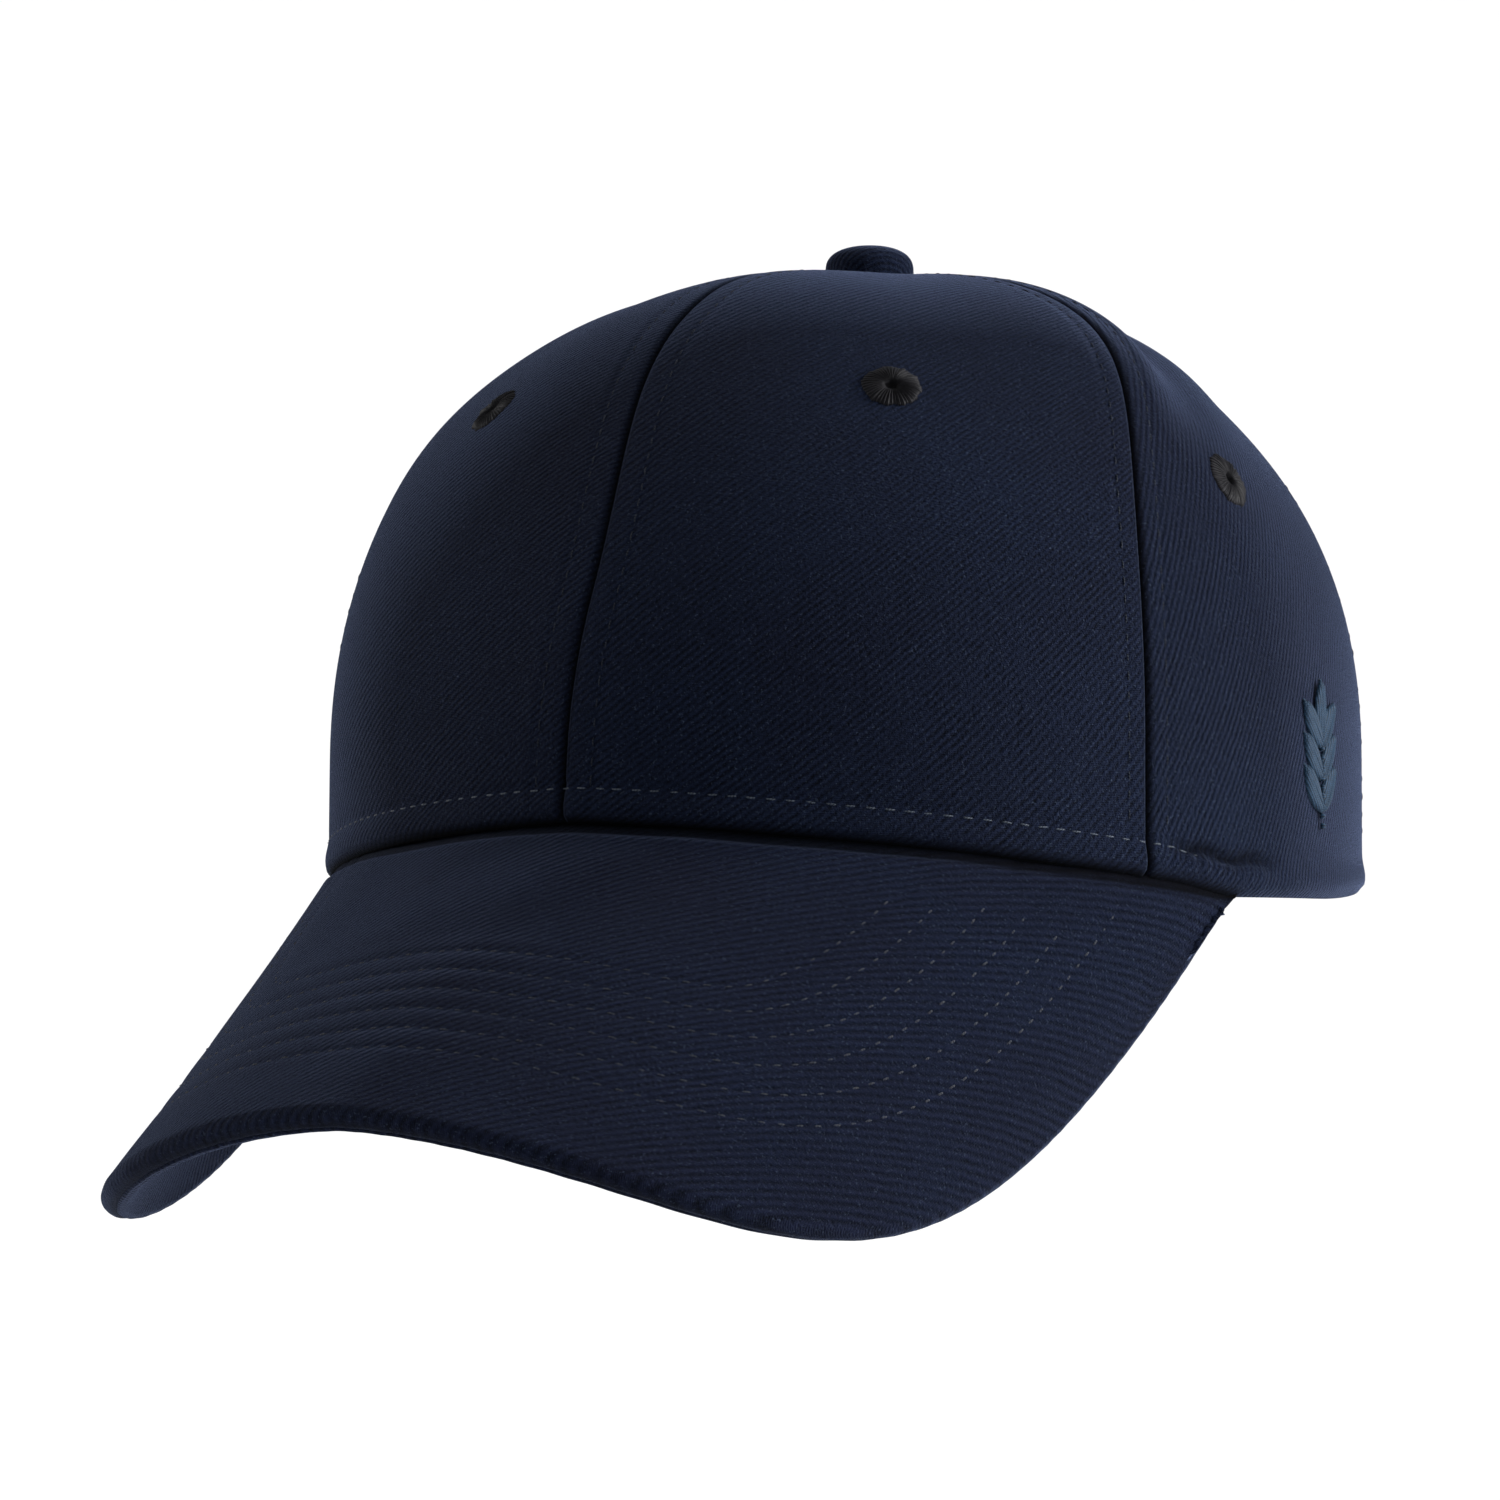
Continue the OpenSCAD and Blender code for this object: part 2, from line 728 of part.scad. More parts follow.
module in_buckle() {
  translate([buckle_c.x, buckle_c.y, strap_z]) rotate([0, 0, buckle_turn]) mirror([0, 1, 0]) children();
}

plate_t = 0.8;
base_y = -strap_t / 2 - 1;
wall_t = 1;
channel_w = strap_w + 1.4;
frame_l = 22;
slot_l = 2.4;
bar_l = 2;
pin_at = [5.5, 2.6];
wall_top = 4;
wall_l = 15;
lever_w = channel_w - 0.6;
lever_t = 0.85;
lever_l = 15;
knuckle_r = 1.4;
pin_clearance = 0.06;

module buckle_frame() {
  bar_x = frame_l / 2 + slot_l;
  wall_x = pin_at.x + knuckle_r + 0.6 - wall_l;
  color("darkgray") in_buckle() difference() {
    union() {
      translate([-frame_l / 2, base_y - plate_t, -channel_w / 2 - wall_t])
        cube([frame_l + slot_l + bar_l, plate_t, channel_w + 2 * wall_t]);
      for (side = [-1, 1])
        translate([wall_x, base_y - plate_t, side * (channel_w + wall_t) / 2 - wall_t / 2])
          cube([wall_l, wall_top - base_y + plate_t, wall_t]);
    }
    translate([bar_x - slot_l, base_y - plate_t - 1, -strap_w / 2])
      cube([slot_l, plate_t + 2, strap_w]);
    translate([pin_at.x, pin_at.y, -channel_w])
      cylinder(h = 2 * channel_w, r = pin_r, $fn = 32);
  }
}

module buckle_pin() {
  color("silver") in_buckle() translate([pin_at.x, pin_at.y, -channel_w / 2 - wall_t])
    cylinder(h = channel_w + 2 * wall_t, r = pin_r, $fn = 32);
}

module buckle_lever() {
  lip_d = 1.6;
  color("lightgray") in_buckle() translate([pin_at.x, pin_at.y, -lever_w / 2]) difference() {
    union() {
      cylinder(h = lever_w, r = knuckle_r, $fn = 40);
      translate([-lever_l, knuckle_r - lever_t, 0]) cube([lever_l, lever_t, lever_w]);
      translate([-lever_l, knuckle_r - lever_t / 2, 0]) cylinder(h = lever_w, d = lip_d, $fn = 32);
    }
    translate([0, 0, -1]) cylinder(h = lever_w + 2, r = pin_r + pin_clearance, $fn = 32);
  }
}

// The tab's two layers come from behind the back panel and close round the frame's bar
tab_t = 0.5;
tab_w = strap_w - 1;
module buckle_tab() {
  bar_from = frame_l / 2 + slot_l;
  bar_y = base_y - plate_t / 2;
  ring = plate_t / 2 + 0.12;
  bend_x = bar_from - 0.12;
  join_x = 23;
  steps = 8;
  function tab_run(depth) = [
    for (j = [0:steps])
      let (
        x = mix(join_x, join_x + 14, j / steps),
        phi = buckle_angle + x / norm(buckle_c) * 180 / PI,
        q = oval_at(phi, strap_depth + strap_t / 2 + 0.35 + depth) - buckle_c
      )
      [q * buckle_x, q * buckle_y]
  ];
  outer = [[bend_x - tab_t, bar_y + ring + tab_t], [bar_from + bar_l, bar_y + ring + tab_t]];
  under = [[bar_from + bar_l, bar_y - ring - tab_t], [bend_x - tab_t, bar_y - ring - tab_t]];
  far = tab_run(0);
  near = tab_run(2 * tab_t + 0.02);
  core_end = join_x - 4;
  color(navy) in_buckle() translate([0, 0, -tab_w / 2]) linear_extrude(tab_w) difference() {
    polygon(concat(outer, far, [for (k = [steps:-1:0]) near[k]], under));
    polygon([
      [bend_x, bar_y + ring], [bar_from + bar_l + 0.4, bar_y + ring],
      [core_end, bar_y - 0.9], [bar_from + bar_l + 0.4, bar_y - ring], [bend_x, bar_y - ring]
    ]);
  }
}

panel_front_left();
panel_front_right();
panel_side_left();
panel_side_right();
panel_back_left();
panel_back_right();
buckram_left();
buckram_right();
seam_tape_front();
seam_tape_side_left();
seam_tape_side_right();
seam_tape_rear_left();
seam_tape_rear_right();
seam_tape_back();
eyelet_front_left();
eyelet_front_right();
eyelet_side_left();
eyelet_side_right();
eyelet_back_left();
eyelet_back_right();
button_cover();
button_shell();
button_prong();
visor_board();
visor_top_cover();
visor_under_cover();
visor_stitching();
visor_seam_stitching();
crown_topstitching();
sweatband();
sweatband_pad();
arch_binding();
adjuster_strap();
buckle_tab();
buckle_frame();
buckle_pin();
buckle_lever();
emblem();
size_label();
care_label();
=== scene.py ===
"""A structured six-panel baseball cap: its looks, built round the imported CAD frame.

Lengths are worked out in millimetres, in the CAD frame, and turned into metres when a mesh is made.
phi is a direction from the middle of the head opening (-90 is the front, 0 the wearer's left), and
s runs up the crown from the hem (0) to the button (1).
"""

import math

import bpy
import numpy as np
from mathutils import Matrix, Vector


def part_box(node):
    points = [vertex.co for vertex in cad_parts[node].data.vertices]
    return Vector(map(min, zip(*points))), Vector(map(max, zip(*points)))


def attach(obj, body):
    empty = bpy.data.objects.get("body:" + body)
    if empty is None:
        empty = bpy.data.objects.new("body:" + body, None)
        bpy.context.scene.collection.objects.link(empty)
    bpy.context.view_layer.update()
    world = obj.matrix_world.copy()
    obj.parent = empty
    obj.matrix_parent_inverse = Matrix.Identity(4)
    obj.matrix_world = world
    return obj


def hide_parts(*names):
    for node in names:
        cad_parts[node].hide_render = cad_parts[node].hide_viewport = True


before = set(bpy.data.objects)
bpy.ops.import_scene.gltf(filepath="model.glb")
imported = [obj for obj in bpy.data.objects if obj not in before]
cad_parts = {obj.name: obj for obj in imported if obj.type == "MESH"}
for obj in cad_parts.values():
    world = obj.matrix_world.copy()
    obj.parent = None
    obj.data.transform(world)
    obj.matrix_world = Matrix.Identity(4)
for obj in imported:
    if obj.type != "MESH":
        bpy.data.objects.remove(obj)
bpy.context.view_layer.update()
MM = 0.001
TURN = 2 * math.pi
ROOT = "cap"

# ---- Driving dimensions, in mm and degrees: the same as the CAD model's

HALF_WIDTH = 86.5
FRONT_LENGTH = 91.0
BACK_LENGTH = 104.0
CROWN_HEIGHT = 107.5
TOP_BACK = 11.0
SIDE_WALL = 24.0
FRONT_WALL = 16.0
FRONT_PUFF = 3.2
CLOTH = 1.0
SIDE_SEAM = -29.0
SIDE_SEAM_BOW = 11.0
BACK_SEAM = 32.0
VISOR_LENGTH = 81.0
VISOR_REACH = 74.0
HEM_LIFT = 10.8
LIFT_POWER = 1.3
VISOR_SLOPE = 31.4
WALL_SHARE = 0.12
TOP_SHARE = 0.985
ARCH_ANGLE = 27.0
ARCH_HEIGHT = 46.0
ARCH_POWER = 2.2
BOARD = 2.2
COVER = 0.8
STRAP_T = 1.5
BUCKLE_ANGLE = 101.0

BUCKRAM_DEPTH = CLOTH + 0.45
REAR_TAPE_DEPTH = CLOTH + 0.45
FRONT_TAPE_DEPTH = BUCKRAM_DEPTH + 1.15
PAD_DEPTH = FRONT_TAPE_DEPTH + 0.85

STITCH_GAP_FRONT = 5.4
STITCH_GAP_SIDE = 4.2
HEM_STITCH = 6.0
HEM_SPAN = 79
STITCH = 3.1
VISOR_ROWS = [17.3 + 5.4 * k for k in range(6)]
CROWN_BEND = 170.0
EYELET_R = 4.7
EYELET_HOLE_R = 0.95


# ---- Vector helpers

def unit(v):
    return v / np.maximum(np.linalg.norm(v, axis=-1, keepdims=True), 1e-9)


def mix(a, b, f):
    return a + (b - a) * f


def smooth(x):
    c = np.clip(x, 0, 1)
    return c * c * (3 - 2 * c)


def sind(a):
    return np.sin(np.radians(a))


def cosd(a):
    return np.cos(np.radians(a))


def bump(x, width):
    return np.exp(-((x / width) ** 2))


def waves(a, b, size, seed):
    """Soft, seeded unevenness from a few crossing waves, about -1 to 1, over coordinates in mm."""
    pick = np.random.default_rng(seed)
    total = 0
    for _ in range(6):
        turn, phase, scale = pick.uniform(0, TURN, 2).tolist() + [pick.uniform(0.6, 1.6)]
        along = a * math.cos(turn) + b * math.sin(turn)
        total = total + np.sin(along * TURN / (size * scale) + phase)
    return total / 3.5


def rising(low, high, rows, cols):
    """A grid of values that change from row to row."""
    return np.linspace(low, high, rows)[:, None] * np.ones(cols)


def crossing(low, high, rows, cols):
    """A grid of values that change from column to column."""
    return np.linspace(low, high, cols) * np.ones((rows, 1))


def pairs(a, b):
    """Two arrays, spread to one shape, as a list of pairs."""
    return np.stack(np.broadcast_arrays(a, b), -1).reshape(-1, 2)


def read_off(grid, distance, at):
    """The point of each row of a grid where that row's distance reaches a value."""
    return np.array([[np.interp(at, d, g[:, k]) for k in range(3)] for d, g in zip(distance, grid)])


# ---- The crown's surface, for the wearer's left half

def hem_radius(phi):
    length = np.where(sind(phi) < 0, FRONT_LENGTH, BACK_LENGTH)
    return 1 / np.sqrt((cosd(phi) / HALF_WIDTH) ** 2 + (sind(phi) / length) ** 2)


def hem_height(phi):
    off = np.minimum(1, np.abs(phi + 90) / VISOR_REACH)
    return HEM_LIFT * (1 - off**LIFT_POWER)


def frontness(phi):
    return np.maximum(0, -sind(phi)) ** 2


def wall_height(phi):
    return mix(SIDE_WALL, FRONT_WALL, frontness(phi)) + 0.8 * hem_height(phi)


def roundness(phi):
    shoulder = 0.74 * np.exp(-(((phi - SIDE_SEAM - SIDE_SEAM_BOW) / 21) ** 2))
    return mix(2.0, 2.27, frontness(phi)) + shoulder


def rise_power(phi):
    return mix(2.29, 1.86, frontness(phi))


def dome_turn(s):
    return 90 * np.clip((s - WALL_SHARE) / (1 - WALL_SHARE), 0, 1)


def reach(phi, s):
    return np.maximum(1e-6, cosd(dome_turn(s))) ** (2 / roundness(phi))


def crown(phi, s):
    phi, s = np.broadcast_arrays(np.asarray(phi, float), np.asarray(s, float))
    r, k = hem_radius(phi), reach(phi, s)
    wall_z = mix(hem_height(phi), wall_height(phi), np.clip(s / WALL_SHARE, 0, 1))
    rise = np.maximum(0, sind(dome_turn(s))) ** (2 / rise_power(phi))
    puff = np.where(s > WALL_SHARE, FRONT_PUFF * frontness(phi) * sind(180 * k) ** 2, 0)
    z = wall_z + (CROWN_HEIGHT - wall_height(phi)) * rise + puff
    return np.stack([r * cosd(phi) * k, TOP_BACK + (r * sind(phi) - TOP_BACK) * k, z], -1)


def crown_normal(phi, s):
    d = 0.01
    along = crown(phi + 1, s) - crown(phi - 1, s)
    up = crown(phi, s + d) - crown(phi, np.maximum(0, s - d))
    return unit(np.cross(along, up))


def crown_frame(phi, s):
    """A point of the crown, and the directions out of it, level across it and up it."""
    normal = crown_normal(phi, s)
    side = unit(np.cross([0, 0, 1.0], normal))
    return crown(phi, s), normal, side, np.cross(normal, side)


def crown_at(phi, s, depth=0.0):
    """A point on either half: phi runs from -270 at the back, over the front, to 90."""
    phi, s = np.broadcast_arrays(np.asarray(phi, float), np.asarray(s, float))
    right = (phi < -90) | (phi > 90)
    own = np.where(phi < -90, -180 - phi, np.where(phi > 90, 180 - phi, phi))
    p = crown(own, s) - np.asarray(depth)[..., None] * crown_normal(own, s)
    p[..., 0] *= np.where(right, -1, 1)
    return p


def share_at(phi, z):
    """How far up the crown (s) the surface reaches a height."""
    h, w = hem_height(phi), wall_height(phi)
    in_wall = WALL_SHARE * np.maximum(0, z - h) / (w - h)
    rise = np.clip((z - w) / (CROWN_HEIGHT - w), 0, 1) ** (rise_power(phi) / 2)
    in_dome = WALL_SHARE + (1 - WALL_SHARE) / 90 * np.degrees(np.arcsin(rise))
    return np.where(z <= w, in_wall, in_dome)


def box_of(node):
    """The two corners of a CAD piece's box, in mm."""
    return [np.array(corner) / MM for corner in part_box(node)]


def crown_spot(node):
    """Where on the crown a CAD piece sits: the phi and s nearest to the middle of its box."""
    phi, s = np.meshgrid(np.linspace(-90, 90, 721), np.linspace(0, 1, 601))
    off = np.linalg.norm(crown(phi, s) - sum(box_of(node)) / 2, axis=-1)
    at = np.unravel_index(off.argmin(), off.shape)
    return phi[at], s[at]


EYELETS = {kind: crown_spot(f"eyelet_{kind}_left") for kind in ("front", "side", "back")}


def side_seam(s):
    return SIDE_SEAM + SIDE_SEAM_BOW * sind(180 * s * s) ** 2


def seam(i, s):
    s = np.asarray(s, float)
    return [np.full_like(s, -90), side_seam(s), np.full_like(s, BACK_SEAM), np.full_like(s, 90)][i]


def arch_z(off):
    inside = np.clip(1 - np.abs(off / ARCH_ANGLE) ** ARCH_POWER, 0, 1)
    return ARCH_HEIGHT * inside ** (1 / ARCH_POWER)


# ---- Meshes

def new_object(name, data):
    made = bpy.data.objects.new(name, data)
    bpy.context.scene.collection.objects.link(made)
    return made


def show(name, shape, material, slot, nodes=None):
    """A shown piece from (verts, faces, weave) in mm. It rides on the cap and stands for the CAD node
    of its name, or for the nodes given."""
    verts, faces, weave = shape
    mesh = bpy.data.meshes.new(name)
    mesh.from_pydata((verts * MM).tolist(), [], [list(map(int, f)) for f in faces])
    mesh.update()
    mesh.shade_smooth()
    flat = np.zeros((len(verts), 3), np.float32)
    flat[:, : weave.shape[1]] = weave * [MM, MM, 1][: weave.shape[1]]
    mesh.attributes.new("weave", "FLOAT_VECTOR", "POINT").data.foreach_set("vector", flat.ravel())
    piece = new_object(name, mesh)
    mesh.materials.append(material)
    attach(piece, ROOT)
    stands_for = [name] if nodes is None else nodes
    if stands_for:
        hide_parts(*stands_for)
    return piece


def turned(weave, degrees):
    """Weave coordinates turned so that the cloth's ribs, which run along the first one, point this way."""
    c, s = math.cos(math.radians(degrees)), math.sin(math.radians(degrees))
    return np.stack([weave[..., 0] * c + weave[..., 1] * s, weave[..., 1] * c - weave[..., 0] * s], -1)


def lengths(points, axis, start=0):
    """Distance along the grid's rows or columns, counted from one of them."""
    step = np.linalg.norm(np.diff(points, axis=axis), axis=-1)
    total = np.insert(np.cumsum(step, axis=axis), 0, 0, axis=axis)
    return total - np.take(total, [start], axis=axis)


def weave_of(points, degrees):
    """Weave coordinates of a grid of points: across from its middle column, and up that column."""
    middle = points.shape[1] // 2
    across = lengths(points, 1, middle)
    up = np.broadcast_to(lengths(points, 0)[:, middle : middle + 1], across.shape)
    return turned(np.stack([across, up], -1), degrees)


def with_painted_shade(weave, painted_shade):
    """Weave coordinates with a third value, 0 to 1: how much painted shade darkens the cloth at each point.
    """
    return np.concatenate([weave, np.broadcast_to(painted_shade, weave.shape[:-1])[..., None]], -1)


def sheet_mesh(points, thick, weave, holes=None):
    """A closed sheet of cloth from a grid of points on its outer face, with rounded edges.
    holes marks the grid's cells that are cut out."""
    rows, cols = points.shape[:2]
    across, up = np.gradient(points, axis=1), np.gradient(points, axis=0)
    normal = unit(np.cross(across, up))
    inner = points - thick * normal
    index = np.arange(rows * cols).reshape(rows, cols)
    rim = np.concatenate([index[0], index[1:, -1], index[-1, -2::-1], index[-2:0:-1, 0]])
    out = np.zeros_like(points)
    out[0] -= unit(up[0])
    out[-1] += unit(up[-1])
    out[:, 0] -= unit(across[:, 0])
    out[:, -1] += unit(across[:, -1])
    middle = ((points + inner) / 2).reshape(-1, 3)[rim] + 0.4 * thick * unit(out.reshape(-1, 3)[rim])
    verts = np.concatenate([points.reshape(-1, 3), inner.reshape(-1, 3), middle])
    flat = weave.reshape(-1, weave.shape[-1])
    a, b, c, d = index[:-1, :-1], index[:-1, 1:], index[1:, 1:], index[1:, :-1]
    keep = np.ones(a.shape, bool) if holes is None else ~holes
    skin = np.stack([a, b, c, d], -1)
    n = rows * cols
    faces = skin[keep].tolist() + (skin[keep][:, ::-1] + n).tolist()
    edge = 2 * n + np.arange(len(rim))
    after, edge_after = np.roll(rim, -1), np.roll(edge, -1)
    faces += np.stack([after, rim, edge, edge_after], -1).tolist()
    faces += np.stack([edge_after, edge, rim + n, after + n], -1).tolist()
    for i, j in np.argwhere(~keep):
        corners = skin[i, j]
        for k, (ni, nj) in enumerate(((i - 1, j), (i, j + 1), (i + 1, j), (i, j - 1))):
            if keep[ni, nj]:
                p, q = corners[k], corners[(k + 1) % 4]
                faces.append([p, q, q + n, p + n])
    return verts, faces, np.concatenate([flat, flat, flat[rim]])


def mirrored(verts, faces, weave):
    """The same mesh on the wearer's right, with the cloth's ribs still leaning the same way."""
    return verts * [-1, 1, 1], [f[::-1] for f in faces], weave * [-1, 1, 1][: weave.shape[1]]


def tube_walls(index):
    """The faces between rings of points, given as rows of a grid of vertex numbers."""
    ahead = np.roll(index, -1, axis=-1)
    corners = (index[..., :-1, :], index[..., 1:, :], ahead[..., 1:, :], ahead[..., :-1, :])
    return np.stack(corners, -1).reshape(-1, 4)


def joined(parts):
    """One mesh from several (verts, faces, weave)."""
    verts, faces, weave, base = [], [], [], 0
    for v, f, w in parts:
        verts.append(v)
        faces += [[k + base for k in face] for face in f]
        weave.append(w)
        base += len(v)
    return np.concatenate(verts), faces, np.concatenate(weave)


def stitches(path, normal, pitch=STITCH, width=0.25, lift=0.1, seed=1, part=0.6):
    """Lockstitches along a path, each showing for a part of the pitch and diving in at both ends."""
    pick = np.random.default_rng(seed)
    along = lengths(path, 0)
    count = int(along[-1] / pitch)
    rings, sides = 7, 6
    t = 0.5 + part * np.linspace(-0.5, 0.5, rings)
    start = (np.arange(count) + pick.normal(0, 0.04, count))[:, None]
    at = np.clip((start + t) * pitch, 0, along[-1])
    centre = np.stack([np.interp(at, along, path[:, k]) for k in range(3)], -1)
    up = unit(np.stack([np.interp(at, along, normal[:, k]) for k in range(3)], -1))
    ahead = unit(np.gradient(centre, axis=1))
    side = unit(np.cross(up, ahead))
    arc = np.sin(np.pi * np.linspace(0.02, 0.98, rings)) ** 0.6
    height = lift + pick.normal(0, 0.03, (count, 1)) + arc * 0.3 - 0.3
    lean = pick.normal(0, 0.06, (count, 1)) * (2 * t - 1)
    centre = centre + up * height[..., None] + side * lean[..., None]
    radius = width * (0.55 + 0.45 * arc)
    turn = np.arange(sides) * TURN / sides
    radius = radius[None, :, None, None]
    ring = side[:, :, None] * (np.cos(turn)[:, None] * radius)
    ring = ring + up[:, :, None] * (np.sin(turn)[:, None] * radius * 0.8)
    verts = (centre[:, :, None] + ring).reshape(-1, 3)
    index = np.arange(count * rings * sides).reshape(count, rings, sides)
    walls = tube_walls(index)[:, [0, 3, 2, 1]]
    faces = walls.tolist() + index[:, 0, ::-1].tolist() + index[:, -1].tolist()
    return verts, faces, pairs(at[..., None], turn)


# ---- Materials

def node_maker(material):
    """A short way to add a node. Inputs are values, nodes (their first output) or (node, output)."""
    tree = material.node_tree

    def add(kind, inputs=None, **settings):
        node = tree.nodes.new("ShaderNode" + kind)
        for key, value in settings.items():
            setattr(node, key, value)
        for key, value in (inputs or {}).items():
            if isinstance(value, bpy.types.Node):
                value = (value, 0)
            if isinstance(value, tuple) and isinstance(value[0], bpy.types.Node):
                tree.links.new(value[0].outputs[value[1]], node.inputs[key])
            else:
                node.inputs[key].default_value = value
        return node

    return add


def calc(add, operation, *inputs):
    return add("Math", dict(enumerate(inputs)), operation=operation)


def noise(add, vector, scale, detail, rough=0.5):
    fields = {"Vector": vector, "Scale": scale, "Detail": detail, "Roughness": rough}
    return add("TexNoise", fields)


def remap(add, source, low=0.0, high=1.0, to_low=0.0, to_high=1.0):
    """A value between low and high, carried over to another range and held inside it."""
    fields = {"Value": source, "From Min": low, "From Max": high, "To Min": to_low, "To Max": to_high}
    return add("MapRange", fields)


def bumps(add, height, depth, strength):
    """Relief from a height, at a depth in mm."""
    return add("Bump", {"Height": height, "Distance": depth * MM, "Strength": strength})


def material_base(name):
    material = bpy.data.materials.new(name)
    material.use_nodes = True
    material.node_tree.nodes.clear()
    return material, node_maker(material)


def finish_material(material, add, shader):
    add("OutputMaterial", {"Surface": shader})
    return material


def principled(material, add, colour, relief, fields):
    fields = {"Base Color": colour, "Normal": relief, **fields}
    return finish_material(material, add, add("BsdfPrincipled", fields))


def ramp(add, source, stops):
    """A colour ramp from (position, colour) stops."""
    node = add("ValToRGB", {"Fac": source})
    elements = node.color_ramp.elements
    while len(elements) < len(stops):
        elements.new(0.5)
    for element, (position, colour) in zip(elements, stops):
        element.position = position
        element.color = (*colour, 1)
    return node


YARN = 0.5


def twill(name, dark, light, fleck, pitch=1.1, sheen=0.5):
    """A twill weave: diagonal ribs of small twisted yarns, with soft woolly fibres standing off it, and
    painted shade darkening its colour and sheen where the weave attribute's third value marks seam grooves,
    folds and the visor junction.
    """
    material, add = material_base(name)
    weave = add("Attribute", attribute_name="weave")
    place = (add("TexCoord"), "Object")
    drift = noise(add, (weave, "Vector"), 420.0, 3.0)
    drift_shift = add("VectorMath", {0: (drift, "Color"), 1: (-0.5, -0.5, -0.5)}, operation="ADD")
    drift_small = add("VectorMath", {0: drift_shift, "Scale": 0.00045}, operation="SCALE")
    moved = add("VectorMath", {0: (weave, "Vector"), 1: drift_small}, operation="ADD")
    parts = add("SeparateXYZ", {"Vector": moved})
    rib = calc(add, "SINE", calc(add, "MULTIPLY", (parts, "Y"), TURN / (pitch * MM)))
    yarn_slant = calc(add, "MULTIPLY_ADD", (parts, "Y"), 1.4, (parts, "X"))
    yarn = calc(add, "SINE", calc(add, "MULTIPLY", yarn_slant, TURN / (YARN * MM)))
    grain = noise(add, place, 1900.0, 3.0, 0.7)
    cloud = noise(add, place, 32.0, 3.0)
    worn = noise(add, place, 150.0, 2.0)
    faded = calc(add, "MULTIPLY", rib, remap(add, (worn, "Fac"), 0.3, 0.7, 0.45))
    ridge = calc(add, "MULTIPLY_ADD", yarn, 0.3, faded)
    height = calc(add, "MULTIPLY_ADD", (grain, "Fac"), 5.0, ridge)
    base = ramp(add, remap(add, height, 0.9, 4.4), [(0.0, dark), (1.0, light)])
    speck = noise(add, place, 2400.0, 2.0, 0.6)
    speck_on = remap(add, (speck, "Fac"), 0.6, 0.76, to_high=0.7)
    flecked = add("MixRGB", {"Fac": speck_on, "Color1": base, "Color2": (*fleck, 1)})
    shade = ramp(add, (cloud, "Fac"), [(0.3, (0.9, 0.86, 0.86)), (0.7, (1.05, 1.12, 1.12))])
    # Painted shade: the weave attribute's third value darkens the colour and thins the sheen in seam
    # grooves, folds and along the visor junction, where shade falls.
    painted_shade = remap(add, (parts, "Z"), to_low=1.0, to_high=0.06)
    colour = flecked
    for tint in (shade, painted_shade):
        colour = add("MixRGB", {"Fac": 1.0, "Color1": colour, "Color2": tint}, blend_type="MULTIPLY")
    relief = bumps(add, height, 0.26, 0.8)
    edge = add("LayerWeight", {"Blend": 0.5})
    nap = remap(add, (edge, "Facing"), 0.5, to_low=0.05 * sheen, to_high=sheen)
    nap_left = calc(add, "MULTIPLY", nap, painted_shade)
    finish = {
        "Roughness": 0.9,
        "Specular IOR Level": 0.05,
        "Sheen Weight": nap_left,
        "Sheen Roughness": 0.25,
        "Sheen Tint": (0.45, 0.58, 1.0, 1),
    }
    return principled(material, add, colour, relief, finish)


def thread_material(name, dark, light, sheen=0.1, turns=1.1, gloss=0.35):
    """Twisted sewing or embroidery thread."""
    material, add = material_base(name)
    place = (add("TexCoord"), "Object")
    weave = add("Attribute", attribute_name="weave")
    parts = add("SeparateXYZ", {"Vector": (weave, "Vector")})
    ply = calc(add, "MULTIPLY", (parts, "X"), TURN / (YARN * MM))
    twist = calc(add, "MULTIPLY_ADD", (parts, "Y"), turns / MM, ply)
    strand = calc(add, "SINE", twist)
    grain = noise(add, place, 1900.0, 3.0)
    height = calc(add, "MULTIPLY_ADD", strand, 0.35, (grain, "Fac"))
    colour = ramp(add, remap(add, height, 0.1, 0.95), [(0.0, dark), (1.0, light)])
    relief = bumps(add, height, 0.12, 0.7)
    finish = {
        "Roughness": 0.55,
        "Specular IOR Level": gloss,
        "Sheen Weight": sheen,
        "Sheen Roughness": 0.3,
    }
    return principled(material, add, colour, relief, finish)


def metal_material(name, colour, scratch_scale):
    """Brushed plated metal with fine scratches and duller patches."""
    material, add = material_base(name)
    place = (add("TexCoord"), "Object")
    stretched = add("Mapping", {"Vector": place, "Scale": (1.0, 1.0, 14.0)})
    brush = noise(add, stretched, scratch_scale, 5.0, 0.7)
    wear = noise(add, place, 140.0, 3.0)
    dim = tuple(c * 0.84 for c in colour)
    base = ramp(add, (wear, "Fac"), [(0.3, dim), (0.65, colour)])
    rough = remap(add, (brush, "Fac"), to_low=0.24, to_high=0.5)
    relief = bumps(add, (brush, "Fac"), 0.03, 0.5)
    return principled(material, add, base, relief, {"Metallic": 1.0, "Roughness": rough})


def plain_material(name, dark, light, scale, rough, depth):
    """An even material with a fine grain: moulded board or foam."""
    material, add = material_base(name)
    grain = noise(add, (add("TexCoord"), "Object"), scale, 4.0)
    base = ramp(add, (grain, "Fac"), [(0.3, dark), (0.7, light)])
    relief = bumps(add, (grain, "Fac"), depth, 0.6)
    return principled(material, add, base, relief, {"Roughness": rough, "Specular IOR Level": 0.3})


